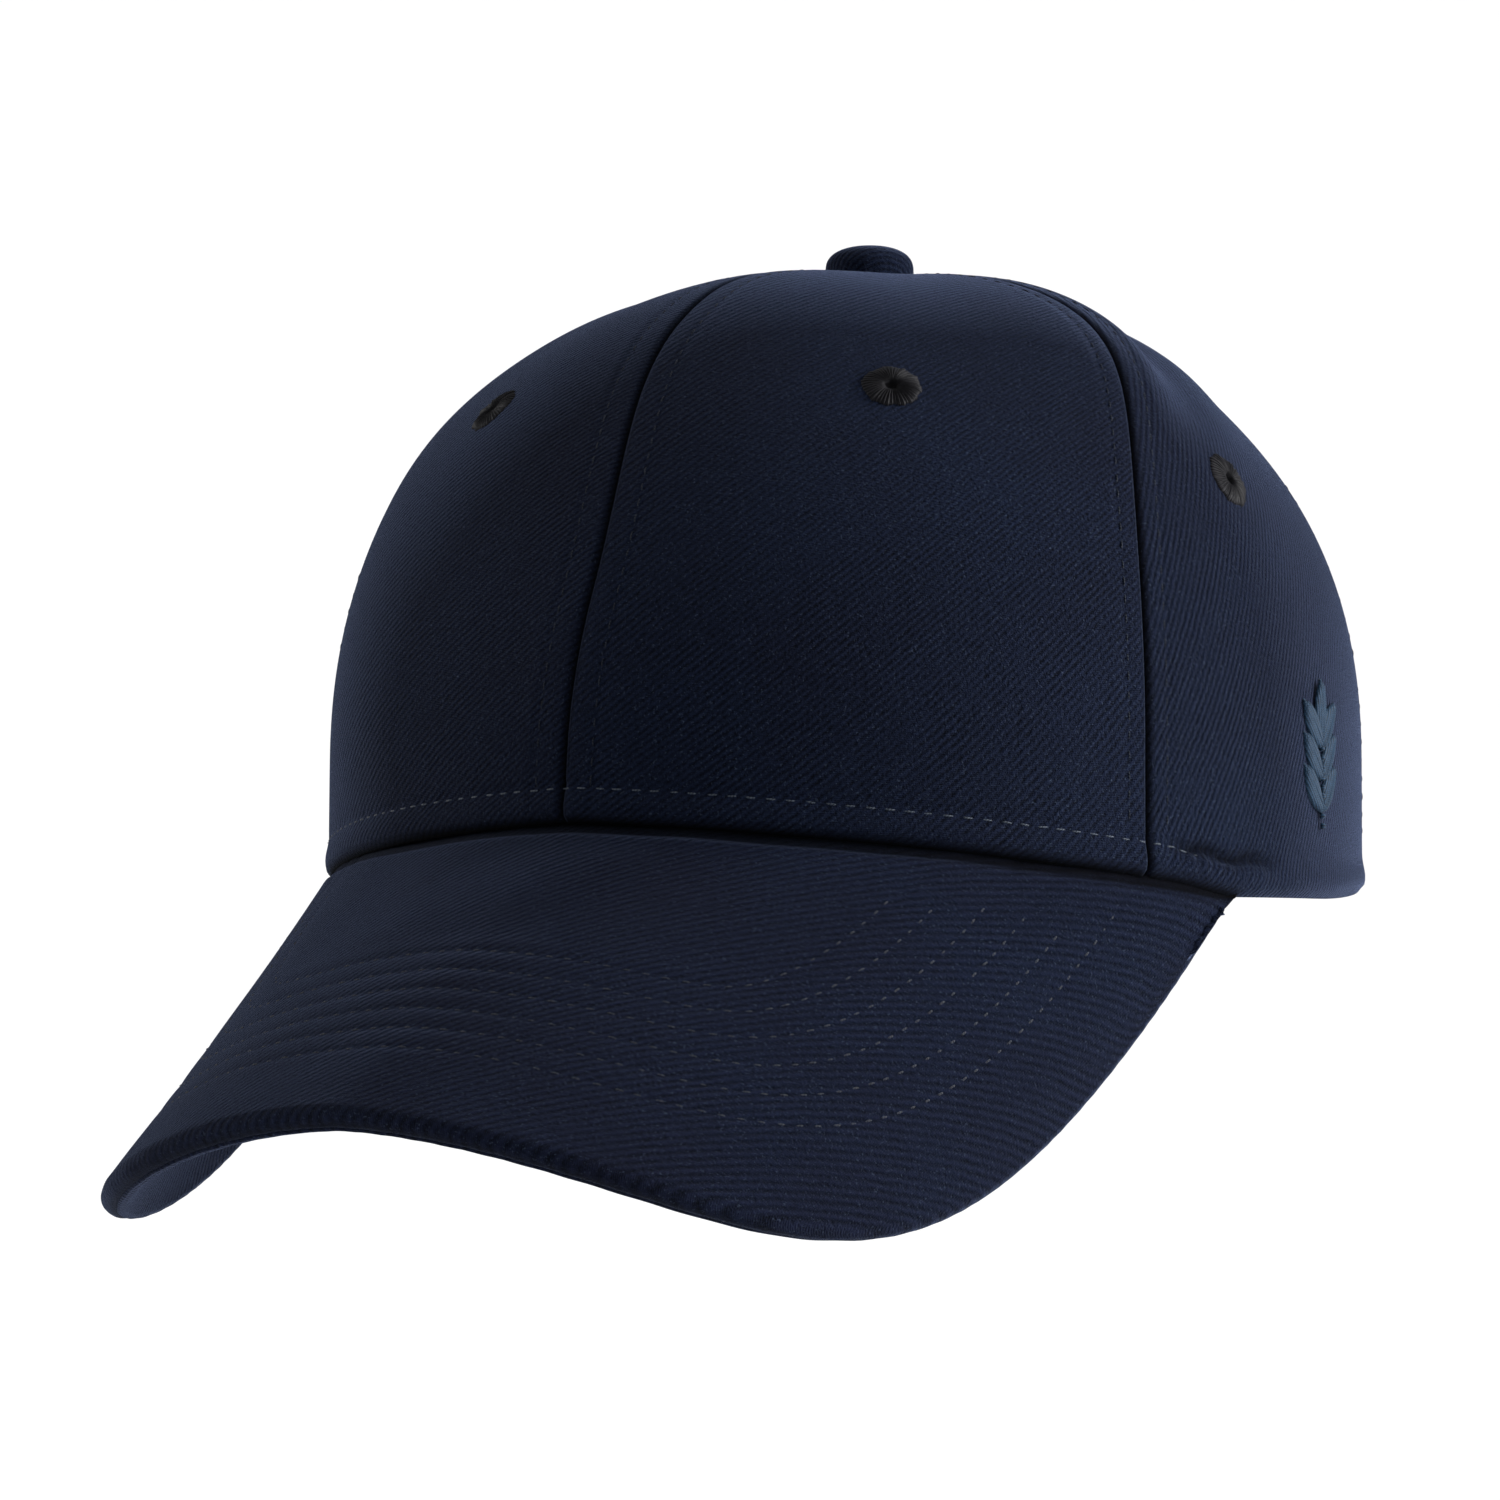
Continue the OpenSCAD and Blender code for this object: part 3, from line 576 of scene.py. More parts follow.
def open_weave_material(name, dark, light, pitch):
    """A plain weave of round yarns, dark between them: buckram and tape."""
    material, add = material_base(name)
    weave = add("Attribute", attribute_name="weave")
    parts = add("SeparateXYZ", {"Vector": (weave, "Vector")})
    turns = [calc(add, "MULTIPLY", (parts, axis), TURN / (pitch * MM)) for axis in ("X", "Y")]
    height = calc(add, "MAXIMUM", *[calc(add, "SINE", turn) for turn in turns])
    base = ramp(add, remap(add, height, -1.0, 1.0), [(0.0, dark), (0.6, light)])
    relief = bumps(add, height, 0.2, 0.7)
    return principled(material, add, base, relief, {"Roughness": 0.85})


NAVY_DARK = (0.0013, 0.0024, 0.006)
NAVY_LIGHT = (0.0118, 0.0175, 0.0425)
NAVY_FLECK = (0.045, 0.06, 0.1)

TWILL = twill("navy_twill", NAVY_DARK, NAVY_LIGHT, NAVY_FLECK)
# Painted shade: the visor's cloth is the crown's navy twill with its light colour made a little darker, so
# the whole visor reads darker; its ribs are also coarser and its sheen a little less.
VISOR_TWILL_PAINTED_SHADE = twill("navy_twill_visor_painted_shade", NAVY_DARK, (0.0108, 0.015, 0.0375), NAVY_FLECK, 1.35, 0.45)
BAND_TWILL = twill(
    "sweatband_twill", (0.007, 0.0085, 0.013), (0.021, 0.025, 0.036), (0.04, 0.042, 0.05), pitch=0.7
)
TAPE_WEAVE = open_weave_material("tape_weave", (0.005, 0.007, 0.014), (0.02, 0.027, 0.05), 0.6)
BUCKRAM = open_weave_material("buckram_weave", (0.2, 0.2, 0.19), (0.68, 0.68, 0.65), 1.1)
THREAD = thread_material("navy_thread", (0.01, 0.015, 0.027), (0.055, 0.075, 0.108))
VISOR_THREAD = thread_material(
    "navy_visor_thread", (0.0025, 0.0035, 0.008), (0.019, 0.026, 0.044), gloss=0.3
)
SEAM_THREAD = thread_material(
    "navy_seam_thread", (0.003, 0.0045, 0.009), (0.012, 0.018, 0.034), 0.02, gloss=0.12
)
EYELET_THREAD = thread_material(
    "eyelet_thread", (0.0016, 0.0016, 0.0024), (0.013, 0.0128, 0.0165), 0.03, 0.4, 0.1
)
EMBLEM_THREAD = thread_material(
    "emblem_thread", (0.004, 0.011, 0.023), (0.021, 0.053, 0.1), 0.03, 0.4, 0.12
)
LABEL = thread_material("label_ribbon", (0.55, 0.55, 0.53), (0.8, 0.8, 0.78), turns=0.2)
FOAM = plain_material("foam_pad", (0.12, 0.12, 0.13), (0.22, 0.22, 0.24), 900.0, 0.95, 0.3)
BOARD_PLASTIC = plain_material(
    "visor_board_plastic", (0.7, 0.7, 0.68), (0.85, 0.85, 0.83), 300.0, 0.5, 0.05
)
BUCKLE_METAL = metal_material("buckle_metal", (0.55, 0.54, 0.52), 500.0)
BUTTON_METAL = metal_material("button_metal", (0.6, 0.6, 0.6), 350.0)


# ---- Crown panels

RIB_ANGLE = {"front": 40.0, "side": 62.0, "back": 50.0}
RIB_VISOR = -45.0
GROOVE = 0.85
RIDGE = 0.06


def seam_relief(d, gap, along):
    """How far the cloth stands out near a seam: a groove, the taped ridge and the stitched line."""
    groove = -GROOVE * np.exp(-((d / 0.5) ** 1.4))
    ridge = RIDGE * smooth(d / 2.4) * (1 - smooth((d - gap - 1.0) / 3.0))
    pucker = 0.5 + 0.5 * np.cos(TURN * along / STITCH)
    stitched = -(0.1 + 0.08 * pucker) * bump(d - gap, 0.7)
    return groove + ridge + stitched


def clustered(count, pull=0.88):
    """Columns from 0 to 1 that crowd towards both ends."""
    t = np.linspace(0, 1, count)
    return mix(t, (1 - np.cos(np.pi * t)) / 2, pull)


def lean(s):
    """How far the front seam strays from the middle, towards the wearer's left."""
    sway = -2.0 + 3.9 * smooth(s / 0.5) - 6.0 * smooth((s - 0.3) / 0.36)
    return sway * (1 - smooth((s - 0.74) / 0.22))


def back_trim(phi):
    """The hem rides a little higher towards the back."""
    return 2.6 * smooth((phi - 4) / 44)


def hem_trim(phi):
    """It also rolls clear of the visor in front."""
    return back_trim(phi) + 0.55 * smooth((-18 - phi) / 8)


LOW_ROWS = [0, 0.003, 0.007, 0.011] + [0.015 + 0.005 * k for k in range(13)]


def panel_grid(kind, side, rows=106, cols=84):
    left, right = {"front": (0, 1), "side": (1, 2), "back": (2, 3)}[kind]
    t = clustered(cols)
    up = np.concatenate([LOW_ROWS, np.linspace(0.083, 1, rows)])[:, None]
    if kind == "back":
        plain = 0.5
        base = mix(BACK_SEAM, 90 - ARCH_ANGLE, np.minimum(1, t / plain))
        curve = 90 - ARCH_ANGLE * cosd(90 * np.maximum(0, (t - plain) / (1 - plain))) ** (2 / ARCH_POWER)
        foot = np.where(t <= plain, base, curve)
        low = np.maximum(arch_z(90 - foot), hem_trim(foot))
    else:
        foot = mix(seam(left, 0), seam(right, 0), t)
        low = hem_height(foot) + hem_trim(foot)
    s = mix(share_at(foot, low), TOP_SHARE, up)
    phi = foot + 0 * s if kind == "back" else mix(seam(left, s), seam(right, s), t)
    if kind == "front":
        off = np.degrees(side * lean(s) / (hem_radius(phi) * reach(phi, s)))
        phi = phi + off * (1 - t)
    return phi, s, left


def panel_surface(kind, side, seed):
    """A panel's outer face, its outward direction at each point, and how much painted shade darkens its
    cloth there.
    """
    phi, s, left = panel_grid(kind, side)
    base = crown(phi, s)
    normal = crown_normal(phi, s)
    across = lengths(base, 1)
    up = lengths(base, 0)
    width = across[:, -1:]
    gap_left = STITCH_GAP_FRONT if left == 0 else STITCH_GAP_SIDE
    relief = seam_relief(across, gap_left, up) + seam_relief(width - across, STITCH_GAP_SIDE, up)
    relief *= smooth(width / 14)
    inside = smooth(across / 12) * smooth((width - across) / 12)
    relief += 0.32 * waves(across, base[..., 2], 52, seed) * inside
    above = base[..., 2] - hem_height(phi) - hem_trim(phi)
    if kind == "back":
        above = up
    sewn = (phi < -90 + HEM_SPAN) * (kind != "back")
    pucker = 1 + 0.6 * np.cos(TURN * across / STITCH)
    relief -= 0.2 * bump(above - HEM_STITCH, 0.7) * sewn * pucker
    relief += 0.55 * bump(above - 2.6, 2.2) - 0.9 * (1 - smooth(above / 1.3))
    gathers = smooth((phi + 27) / 5) * (1 - smooth((phi + 13) / 5)) * (kind == "side")
    ripple = np.cos(TURN * across / 2.9 + 0.9 * np.sin(across / 3))
    relief += 0.3 * gathers * ripple * bump(above - 5.0, 2.8)
    relief += 0.5 * gathers * bump(above - 3.4, 1.4)
    fold = above - HEM_STITCH - 0.35 * np.sin(across / 1.7)
    relief -= 1.0 * gathers * bump(fold, 0.9)
    if kind == "side":
        high = smooth((s - 0.42) / 0.2) * smooth(width / 40)
        relief += 0.8 * bump(across - 7, 4) * high - 1.7 * bump(across - 17, 7) * high
        relief += 0.8 * bump(across - 31, 10) * high
    # Painted shade: dark cloth along the seam grooves, on the hem just above the visor and in the gathered
    # fold, where shade falls.
    seam_shade = 0.9 * bump(np.minimum(across, width - across), 0.5)
    visor_gap_shade = (1 - smooth((phi + 17) / 2)) * (1 - smooth(above / 1.5))
    fold_shade = 0.7 * gathers * bump(fold, 0.8)
    painted_shade = np.maximum(np.maximum(seam_shade, visor_gap_shade), fold_shade)
    return base + normal * relief[..., None], normal, painted_shade


PANELS = {
    (kind, side): panel_surface(kind, side, 20 + 3 * number + side)
    for number, kind in enumerate(("front", "side", "back"))
    for side in (1, -1)
}


def eyelet_cells(points, at, radius):
    """The grid cells to cut out round an eyelet's hole."""
    middle = (points[:-1, :-1] + points[1:, 1:]) / 2
    return np.linalg.norm(middle - crown(*at), axis=-1) < radius


def show_both(name, shape, material, slot):
    """The left piece and its mirror image."""
    show(name + "_left", shape, material, slot)
    show(name + "_right", mirrored(*shape), material, slot)


def make_panels():
    for (kind, side), (points, _, painted_shade) in PANELS.items():
        holes = eyelet_cells(points, EYELETS[kind], 2.2)
        weave = with_painted_shade(weave_of(points, RIB_ANGLE[kind] if side > 0 else 180 - RIB_ANGLE[kind]), painted_shade)
        mesh = sheet_mesh(points, CLOTH * 0.85, weave, holes)
        if side > 0:
            show(f"panel_{kind}_left", mesh, TWILL, "twill")
        else:
            show(f"panel_{kind}_right", mirrored(*mesh), TWILL, "twill")


# ---- Eyelets

def eyelet_mesh(at, seed):
    """Radial embroidery round a hole: a low ring of thread ridges with an uneven outer edge."""
    pick = np.random.default_rng(seed)
    centre, normal, side, up = crown_frame(*at)
    threads, per_thread = 44, 6
    count = threads * per_thread
    turn = np.arange(count) * TURN / count
    own = pick.normal(0, 1, threads)[np.arange(count) // per_thread]
    lobe = np.sin(np.pi * (np.arange(count) % per_thread + 0.5) / per_thread)
    outer = EYELET_R * (1 + 0.03 * own + 0.03 * (lobe - 0.6))
    steps = np.array([0.0, 0.0, 0.04, 0.12, 0.25, 0.4, 0.55, 0.7, 0.82, 0.92, 1.0, 1.0])
    profile = np.array([-2.6, -0.6, 0.3, 0.72, 0.95, 1.0, 0.97, 0.85, 0.65, 0.4, 0.1, -0.5])
    hole = EYELET_HOLE_R * (1 + 0.05 * np.sin(5 * turn))
    radius = hole + steps[:, None] * (outer - EYELET_HOLE_R)
    raised = np.clip(profile, 0, 1)[:, None]
    height = np.where(profile[:, None] > 0, profile[:, None] * (0.55 + 0.05 * own), profile[:, None])
    height = height + raised * 0.3 * (lobe - 0.6)[None]
    drop = radius**2 / CROWN_BEND
    x, y = radius * np.cos(turn), radius * np.sin(turn)
    points = centre + x[..., None] * side + y[..., None] * up + (height - drop)[..., None] * normal
    rings = np.concatenate([points, points[[-1, 0]] - 0.2 * normal])
    n = len(rings)
    index = np.arange(n * count).reshape(n, count)
    ahead, nxt = np.roll(index, -1, axis=1), np.roll(index, -1, axis=0)
    faces = np.stack([index, nxt, np.roll(nxt, -1, axis=1), ahead], -1).reshape(-1, 4)
    return rings.reshape(-1, 3), faces.tolist(), pairs(turn * 7, np.arange(n)[:, None] * 0.4)


def make_eyelets():
    for seed, (kind, at) in enumerate(EYELETS.items()):
        show(f"eyelet_{kind}_left", eyelet_mesh(at, 40 + seed), EYELET_THREAD, "eyelet_thread")
        other = mirrored(*eyelet_mesh(at, 50 + seed))
        show(f"eyelet_{kind}_right", other, EYELET_THREAD, "eyelet_thread")


# ---- Top button

def make_button():
    """A cloth-covered dome with its cloth gathered under the rim."""
    low, high = box_of("button_cover")
    radius, height = (high[0] - low[0]) / 2, high[2] - low[2]
    centre = np.array([(low[0] + high[0]) / 2, (low[1] + high[1]) / 2, low[2]])
    rings, count = 30, 120
    a = np.linspace(0.02, 1, rings) * 110
    turn = np.arange(count) * TURN / count
    gather = np.maximum(0, (a - 70) / 40)[:, None] ** 2
    lobes = 1 + 0.018 * gather * np.sin(26 * turn + 2 * np.sin(3 * turn))
    flat = np.sign(sind(a)) * np.abs(sind(a)) ** 0.85
    rise = np.where(a < 90, 0.62 * np.maximum(0, cosd(a)) ** 0.8, -0.4 * sind((a - 90) * 90 / 20))
    r = radius * flat[:, None] * lobes
    z = height * (0.38 + rise)[:, None] + 0.06 * gather * np.cos(26 * turn)
    points = centre + np.stack([r * np.cos(turn), r * np.sin(turn), z], -1)
    index = np.arange(rings * count).reshape(rings, count)
    walls = tube_walls(index)
    verts = points.reshape(-1, 3)
    faces = walls.tolist() + [index[0].tolist()] + [index[-1][::-1].tolist()]
    arc = np.broadcast_to(lengths(points, 0).mean(1)[:, None], r.shape)
    weave = turned(pairs(arc * np.cos(turn), arc * np.sin(turn)), 50)
    show("button_cover", (verts, faces, weave), TWILL, "twill")


# ---- Visor

def visor_hem(w):
    phi = -90 + np.abs(w) * VISOR_REACH
    r = hem_radius(phi)
    return np.stack([np.sign(w) * r * cosd(phi), r * sind(phi), hem_height(phi)], -1)


def visor_way(w):
    yaw = 6.8 * w - 18.7 * w**3
    pitch = VISOR_SLOPE + 25.1 * w**2 - 8.8 * w**4
    return np.stack([sind(yaw) * cosd(pitch), -cosd(yaw) * cosd(pitch), -sind(pitch)], -1)


def visor_length_at(w):
    taper = np.maximum(0, 1 - np.abs(w) ** 3.13) ** (1 / 1.51)
    return VISOR_LENGTH * (1 + 0.61 * w * w) * taper


def visor_skin(w, f):
    w, f = np.broadcast_arrays(np.asarray(w, float), np.asarray(f, float))
    return visor_hem(w) + (f * visor_length_at(w))[..., None] * visor_way(w)


def visor_step(w):
    """A small step along the hem that stays on the visor."""
    return np.minimum(0.003, (1 - np.abs(w)) / 2)


def visor_normal(w, f):
    step = visor_step(w)
    return unit(np.cross(visor_way(w), visor_skin(w + step, f) - visor_skin(w - step, f)))


VISOR_T = BOARD + 2 * COVER + 0.1
EDGE_R = VISOR_T / 2
EDGE_SEAM_TURN = 158.0
VISOR_TUCK = 3.6


def visor_edge(w):
    """The rolled edge's centre line, shifted in from the outline, and its outward and upward directions."""
    step = visor_step(w)
    along = visor_skin(w + step, 1.0) - visor_skin(w - step, 1.0)
    up = visor_normal(w, 0.98)
    out = unit(np.cross(along, up))
    return visor_skin(w, 1.0) - EDGE_R * np.minimum(1, visor_length_at(w) / 8)[:, None] * out, out, up


def from_edge(points):
    """How far each point of the visor lies from its outline."""
    w = np.sin(np.linspace(-np.pi / 2, np.pi / 2, 500)) * 0.9995
    outline = visor_skin(w, 1.0)
    flat = points.reshape(-1, 3)
    square = (flat**2).sum(1)[:, None] + (outline**2).sum(1)[None] - 2 * flat @ outline.T
    return np.sqrt(np.maximum(0, square.min(1))).reshape(points.shape[:-1])


def flat_pattern(points, degrees):
    """Weave coordinates of cloth bent over the visor, which curves about its own sloping middle line."""
    middle_line = visor_way(np.array(0.0))
    ahead = points @ middle_line
    across = lengths(points - ahead[..., None] * middle_line, 1, points.shape[1] // 2)
    return turned(np.stack([across, ahead], -1), degrees)


def visor_cover(under, rows=118, turns=12, count=230):
    """A cover's outer face: from the crown to the edge, then round the edge to the seam below it."""
    w = 0.9993 * np.sin(np.linspace(-np.pi / 2, np.pi / 2, count))
    start, (edge, out, up) = visor_skin(w, 0.0), visor_edge(w)
    f = np.linspace(0, 1, rows)[:, None]
    line = mix(start[None], edge[None], f[..., None])
    normal = unit(mix(visor_normal(w, 0.02)[None], up[None], f[..., None]))
    distance = from_edge(line)
    from_crown = f * np.linalg.norm(edge - start, axis=-1)[None]
    along = lengths(line, 1, len(w) // 2)
    pucker = 1 + 0.5 * np.cos(TURN * along / STITCH)
    quilt = sum(-0.13 * bump(distance - row, 0.65) for row in VISOR_ROWS) * pucker
    quilt = quilt + sum(0.05 * bump(distance - row - 2.7, 1.6) for row in VISOR_ROWS)
    swell = 0.16 * waves(along, distance, 38, 60 + under) * smooth(distance / 8)
    dip = -0.6 * (1 - smooth(from_crown / 2.6)) * smooth(visor_length_at(w) / 20)[None]
    if under:
        relief = -VISOR_T - quilt * 0.7 - swell
        turn_from, turn_to = 180.0, EDGE_SEAM_TURN - 14
    else:
        relief = quilt + swell + dip
        turn_from, turn_to = 0.0, EDGE_SEAM_TURN
    flat = line + normal * relief[..., None]
    flat[0] -= VISOR_TUCK * visor_way(w)
    turn = np.linspace(turn_from, turn_to, turns + 1)[1:, None, None]
    ribs = 1 + 0.018 * np.sin(TURN * along[-1] / 1.3)
    radius = (EDGE_R + 0.02) * (ribs * mix(0.3, 1, smooth(visor_length_at(w) / 8)))[None, :, None]
    radius = radius - under * 0.35 * smooth((180 - turn) / 18)
    rolled = edge + up * (radius * cosd(turn) - EDGE_R) + out * radius * sind(turn)
    # Painted shade: dark cloth along the junction with the crown and round the underside of the rolled
    # edge, where shade falls.
    shade = 0.6 * smooth((turn[..., 0] - 85) / 40) * np.ones(count)
    painted_shade = np.concatenate([1 - smooth(from_crown / 2.0), shade])
    return np.concatenate([flat, rolled]), distance, normal, painted_shade


VISOR_TOP = visor_cover(False)


def make_visor():
    top = VISOR_TOP[0][::-1]
    weave = with_painted_shade(flat_pattern(top, RIB_VISOR), VISOR_TOP[3][::-1])
    show("visor_top_cover", sheet_mesh(top, COVER, weave), VISOR_TWILL_PAINTED_SHADE, "twill")
    below = visor_cover(True)[0][:, ::-1]
    weave = flat_pattern(below, -RIB_VISOR)
    show("visor_under_cover", sheet_mesh(below, COVER, weave), VISOR_TWILL_PAINTED_SHADE, "twill")


def visor_rows():
    """The stitch rows, each a fixed distance in from the outline: (path, normal) in turn."""
    points, distance, normal, _ = VISOR_TOP
    rows = []
    for row in VISOR_ROWS:
        columns = [j for j in range(distance.shape[1]) if distance[1, j] > row + 0.4]
        away = -distance.T[columns]
        path, out = (
            read_off(grid[: len(distance)].swapaxes(0, 1)[columns], away, -row) for grid in (points, normal)
        )
        rows.append((path, unit(out)))
    return rows


def make_visor_stitching():
    parts = [
        stitches(*row, width=0.13, lift=0.05, seed=70 + k, part=0.5)
        for k, row in enumerate(visor_rows())
    ]
    show("visor_stitching", joined(parts), VISOR_THREAD, "thread")


# ---- Stitching on the crown

def seam_row(kind, side, offset):
    """A stitch path on a panel at a distance from its first side, or from its last when negative."""
    points, normal, _ = PANELS[kind, side]
    across = lengths(points, 1)
    if offset < 0:
        across = lengths(points, 1, points.shape[1] - 1) * -1
        points, normal, across = points[:, ::-1], normal[:, ::-1], across[:, ::-1]
    wide = across[:, -1] > 2.2 * abs(offset)
    low = 10 if kind != "back" else 4
    rows = [i for i in range(low, len(points)) if wide[i]]
    path, out = (read_off(grid[rows], across[rows], abs(offset)) for grid in (points, normal))
    return path * [side, 1, 1], unit(out) * [side, 1, 1]


def hem_row():
    """The row that holds the visor: it runs across the side and front panels a little above the hem."""
    paths, normals = [], []
    for kind, side in (("side", -1), ("front", -1), ("front", 1), ("side", 1)):
        points, normal, _ = PANELS[kind, side]
        up = lengths(points, 0).T[2:-2]
        path, out = (read_off(grid.swapaxes(0, 1)[2:-2], up, HEM_STITCH) for grid in (points, normal))
        paths.append((path * [side, 1, 1])[::side])
        normals.append((unit(out) * [side, 1, 1])[::side])
    path, normal = np.concatenate(paths), np.concatenate(normals)
    turn = np.degrees(np.arctan2(path[:, 0], -path[:, 1]))
    keep = np.abs(turn) < HEM_SPAN
    sunk = 0.3 * smooth((np.abs(turn) - 65) / 4)
    return (path - normal * sunk[:, None])[keep], normal[keep]


def make_crown_stitching():
    parts = []
    for number, (kind, side) in enumerate(PANELS):
        first = STITCH_GAP_FRONT if kind == "front" else STITCH_GAP_SIDE
        for k, offset in enumerate((first, -STITCH_GAP_SIDE)):
            row = seam_row(kind, side, offset)
            parts.append(stitches(*row, width=0.14, lift=0.07, seed=80 + 2 * number + k))
    show("crown_topstitching", joined(parts), SEAM_THREAD, "thread")
    row = stitches(*hem_row(), width=0.135, lift=0.07, seed=99)
    show("visor_seam_stitching", row, THREAD, "thread")


# ---- Inside the crown

def make_buckram():
    rows, cols = 60, 40
    s = rising(0.02, 0.968, rows, cols)
    phi = mix(seam(0, s) + 0.6, seam(1, s) - 0.6, np.linspace(0, 1, cols))
    points = crown_at(phi, s, BUCKRAM_DEPTH)
    holes = eyelet_cells(points, EYELETS["front"], 4.0)
    mesh = sheet_mesh(points, 0.7, weave_of(points, 45.0), holes)
    show_both("buckram", mesh, BUCKRAM, "buckram")


TAPE_TOP = 0.965
TAPE_HALF = 6


def tape_mesh(i, low, depth):
    """A tape over a seam, with a raised edge fold and a shallow middle."""
    rows, cols = 90, 13
    s = rising(low, TAPE_TOP, rows, cols)
    across = crossing(-TAPE_HALF, TAPE_HALF, rows, cols)
    phi = seam(i, s) + np.degrees(across / (hem_radius(seam(i, s)) * reach(seam(i, s), s)))
    lift = 0.12 * bump(np.abs(across) - 4.6, 0.8) + 0.1 * waves(across, s * 130, 18, 110 + i)
    tucked = 0.18 * (i % 2) * smooth((s - 0.8) / 0.1)
    points = crown_at(phi, s, depth + lift + tucked)
    return sheet_mesh(points, 0.4, weave_of(points, 0.0))


def make_tapes():
    above_arch = float(share_at(np.array(90.0), np.array(ARCH_HEIGHT + 6.5)))
    for i, (place, low, depth) in enumerate((
        ("front", 0.01, FRONT_TAPE_DEPTH),
        ("side", 0.02, FRONT_TAPE_DEPTH),
        ("rear", 0.022, REAR_TAPE_DEPTH),
        ("back", above_arch, REAR_TAPE_DEPTH),
    )):
        put = show_both if i in (1, 2) else show
        put(f"seam_tape_{place}", tape_mesh(i, low, depth), TAPE_WEAVE, "seam_tape")


def band_depth(phi):
    off = np.abs(phi + 90)
    return mix(PAD_DEPTH + 1.8, FRONT_TAPE_DEPTH + 0.85, smooth((off - 42) / 14))


def lining_grid(span, low, high, depth, rows, cols, ripple, seed):
    phi = crossing(-90 - span, -90 + span, rows, cols)
    own = np.where(phi < -90, -180 - phi, phi)
    z = rising(low, high, rows, cols)
    s = share_at(own, hem_height(own) + z + back_trim(own))
    uneven = ripple * waves(phi * 1.5, z, 30, seed)
    return crown_at(phi, s, depth(phi) + uneven)


BAND_ROWS = (27.6, 25.4)
BAND_CLOTH = 0.9


def make_sweatband():
    points = lining_grid(142, 0.6, 31.0, band_depth, 40, 330, 0.25, 120)[:, ::-1]
    across, up = np.gradient(points, axis=1), np.gradient(points, axis=0)
    inward = unit(np.cross(up, across))
    height = lengths(points, 0)
    seat = sum(0.16 * bump(height - level, 0.8) for level in BAND_ROWS)
    points = points - inward * seat[..., None]
    show("sweatband", sheet_mesh(points, BAND_CLOTH, weave_of(points, 45.0)), BAND_TWILL, "sweatband")
    parts = []
    middle = points.shape[1] // 2
    for k, level in enumerate(BAND_ROWS):
        row = int(np.abs(height[:, middle] - level).argmin())
        path = points[row] + inward[row] * BAND_CLOTH
        parts.append(stitches(path, inward[row], width=0.16, lift=0.08, seed=160 + k))
    show("sweatband_stitching", joined(parts), THREAD, "thread", nodes=[])
    pad = lining_grid(38, 5, 26, lambda phi: PAD_DEPTH, 16, 60, 0.1, 121)
    piece = show("sweatband_pad", sheet_mesh(pad, 1.5, weave_of(pad, 0.0)), FOAM, "foam")


def make_label(name, phi, width, low, high, side):
    cols, rows = 16, 12
    span = np.degrees(width / hem_radius(np.array(phi)))
    own = crossing(phi, phi + span, rows, cols)
    z = rising(low, high, rows, cols)
    uneven = 0.08 * waves(own * 1.5, z, 20, 130)
    points = crown_at(own, share_at(own, z), band_depth(own) + 1.2 + uneven)
    mesh = sheet_mesh(points, 0.25, weave_of(points, 0.0))
    show(name, mesh if side > 0 else mirrored(*mesh), LABEL, "label")


def make_binding():
    """A tape round the arch, just inside its edge."""
    cols, rows = 110, 9
    t = crossing(0, 180, rows, cols)
    g = rising(0.4, 8.0, rows, cols)
    off = (ARCH_ANGLE + g * 0.6) * np.sign(cosd(t)) * np.abs(cosd(t)) ** (2 / ARCH_POWER)
    z = (ARCH_HEIGHT + g) * np.maximum(0, sind(t)) ** (2 / ARCH_POWER) + 0.8
    own = 90 - np.abs(off)
    points = crown_at(own, share_at(own, np.maximum(z, hem_trim(own) + 0.8)), REAR_TAPE_DEPTH)
    points[..., 0] *= np.where(off > 0, 1, -1)
    points = points[:, ::-1]
    show("arch_binding", sheet_mesh(points, 0.4, weave_of(points, 0.0)), TAPE_WEAVE, "seam_tape")


# ---- Adjuster strap and tab

STRAP_LOW, STRAP_HIGH = (corner[2] for corner in box_of("adjuster_strap"))
STRAP_Z, STRAP_W = (STRAP_LOW + STRAP_HIGH) / 2, STRAP_HIGH - STRAP_LOW
STRAP_DEPTH = REAR_TAPE_DEPTH + 0.4 + 0.45 + STRAP_T / 2
STRAP_SEWN = 2.2
TAB_SEWN = 1.8
TAB_CLOTH = 0.5
TAB_LOOP = 1.02
BAR_X = 13.8
BAR_Y = -2.15


def oval_at(phi, depth):
    def hem(a):
        return np.stack([hem_radius(a) * cosd(a), hem_radius(a) * sind(a)], -1)

    way = unit(hem(phi + 0.5) - hem(phi - 0.5))
    depth = np.asarray(depth)[..., None]
    return hem(phi) - depth * np.stack([way[..., 1], -way[..., 0]], -1)


def buckle_frame_of_reference():
    a = np.array(BUCKLE_ANGLE)
    centre = oval_at(a, STRAP_DEPTH)
    x = unit(oval_at(a + 0.5, STRAP_DEPTH) - oval_at(a - 0.5, STRAP_DEPTH))
    return centre, x, np.array([x[1], -x[0]])


def strap_line(phi, depth):
    """The strap's line in plan: along the oval, and straight through the buckle."""
    centre, x_way, y_way = buckle_frame_of_reference()
    q = oval_at(phi, STRAP_DEPTH + depth) - centre
    x, y = q @ x_way, q @ y_way
    pull = smooth((np.abs(x) - 13) / 12)
    return centre + x[..., None] * x_way + mix(-depth, y, pull)[..., None] * y_way


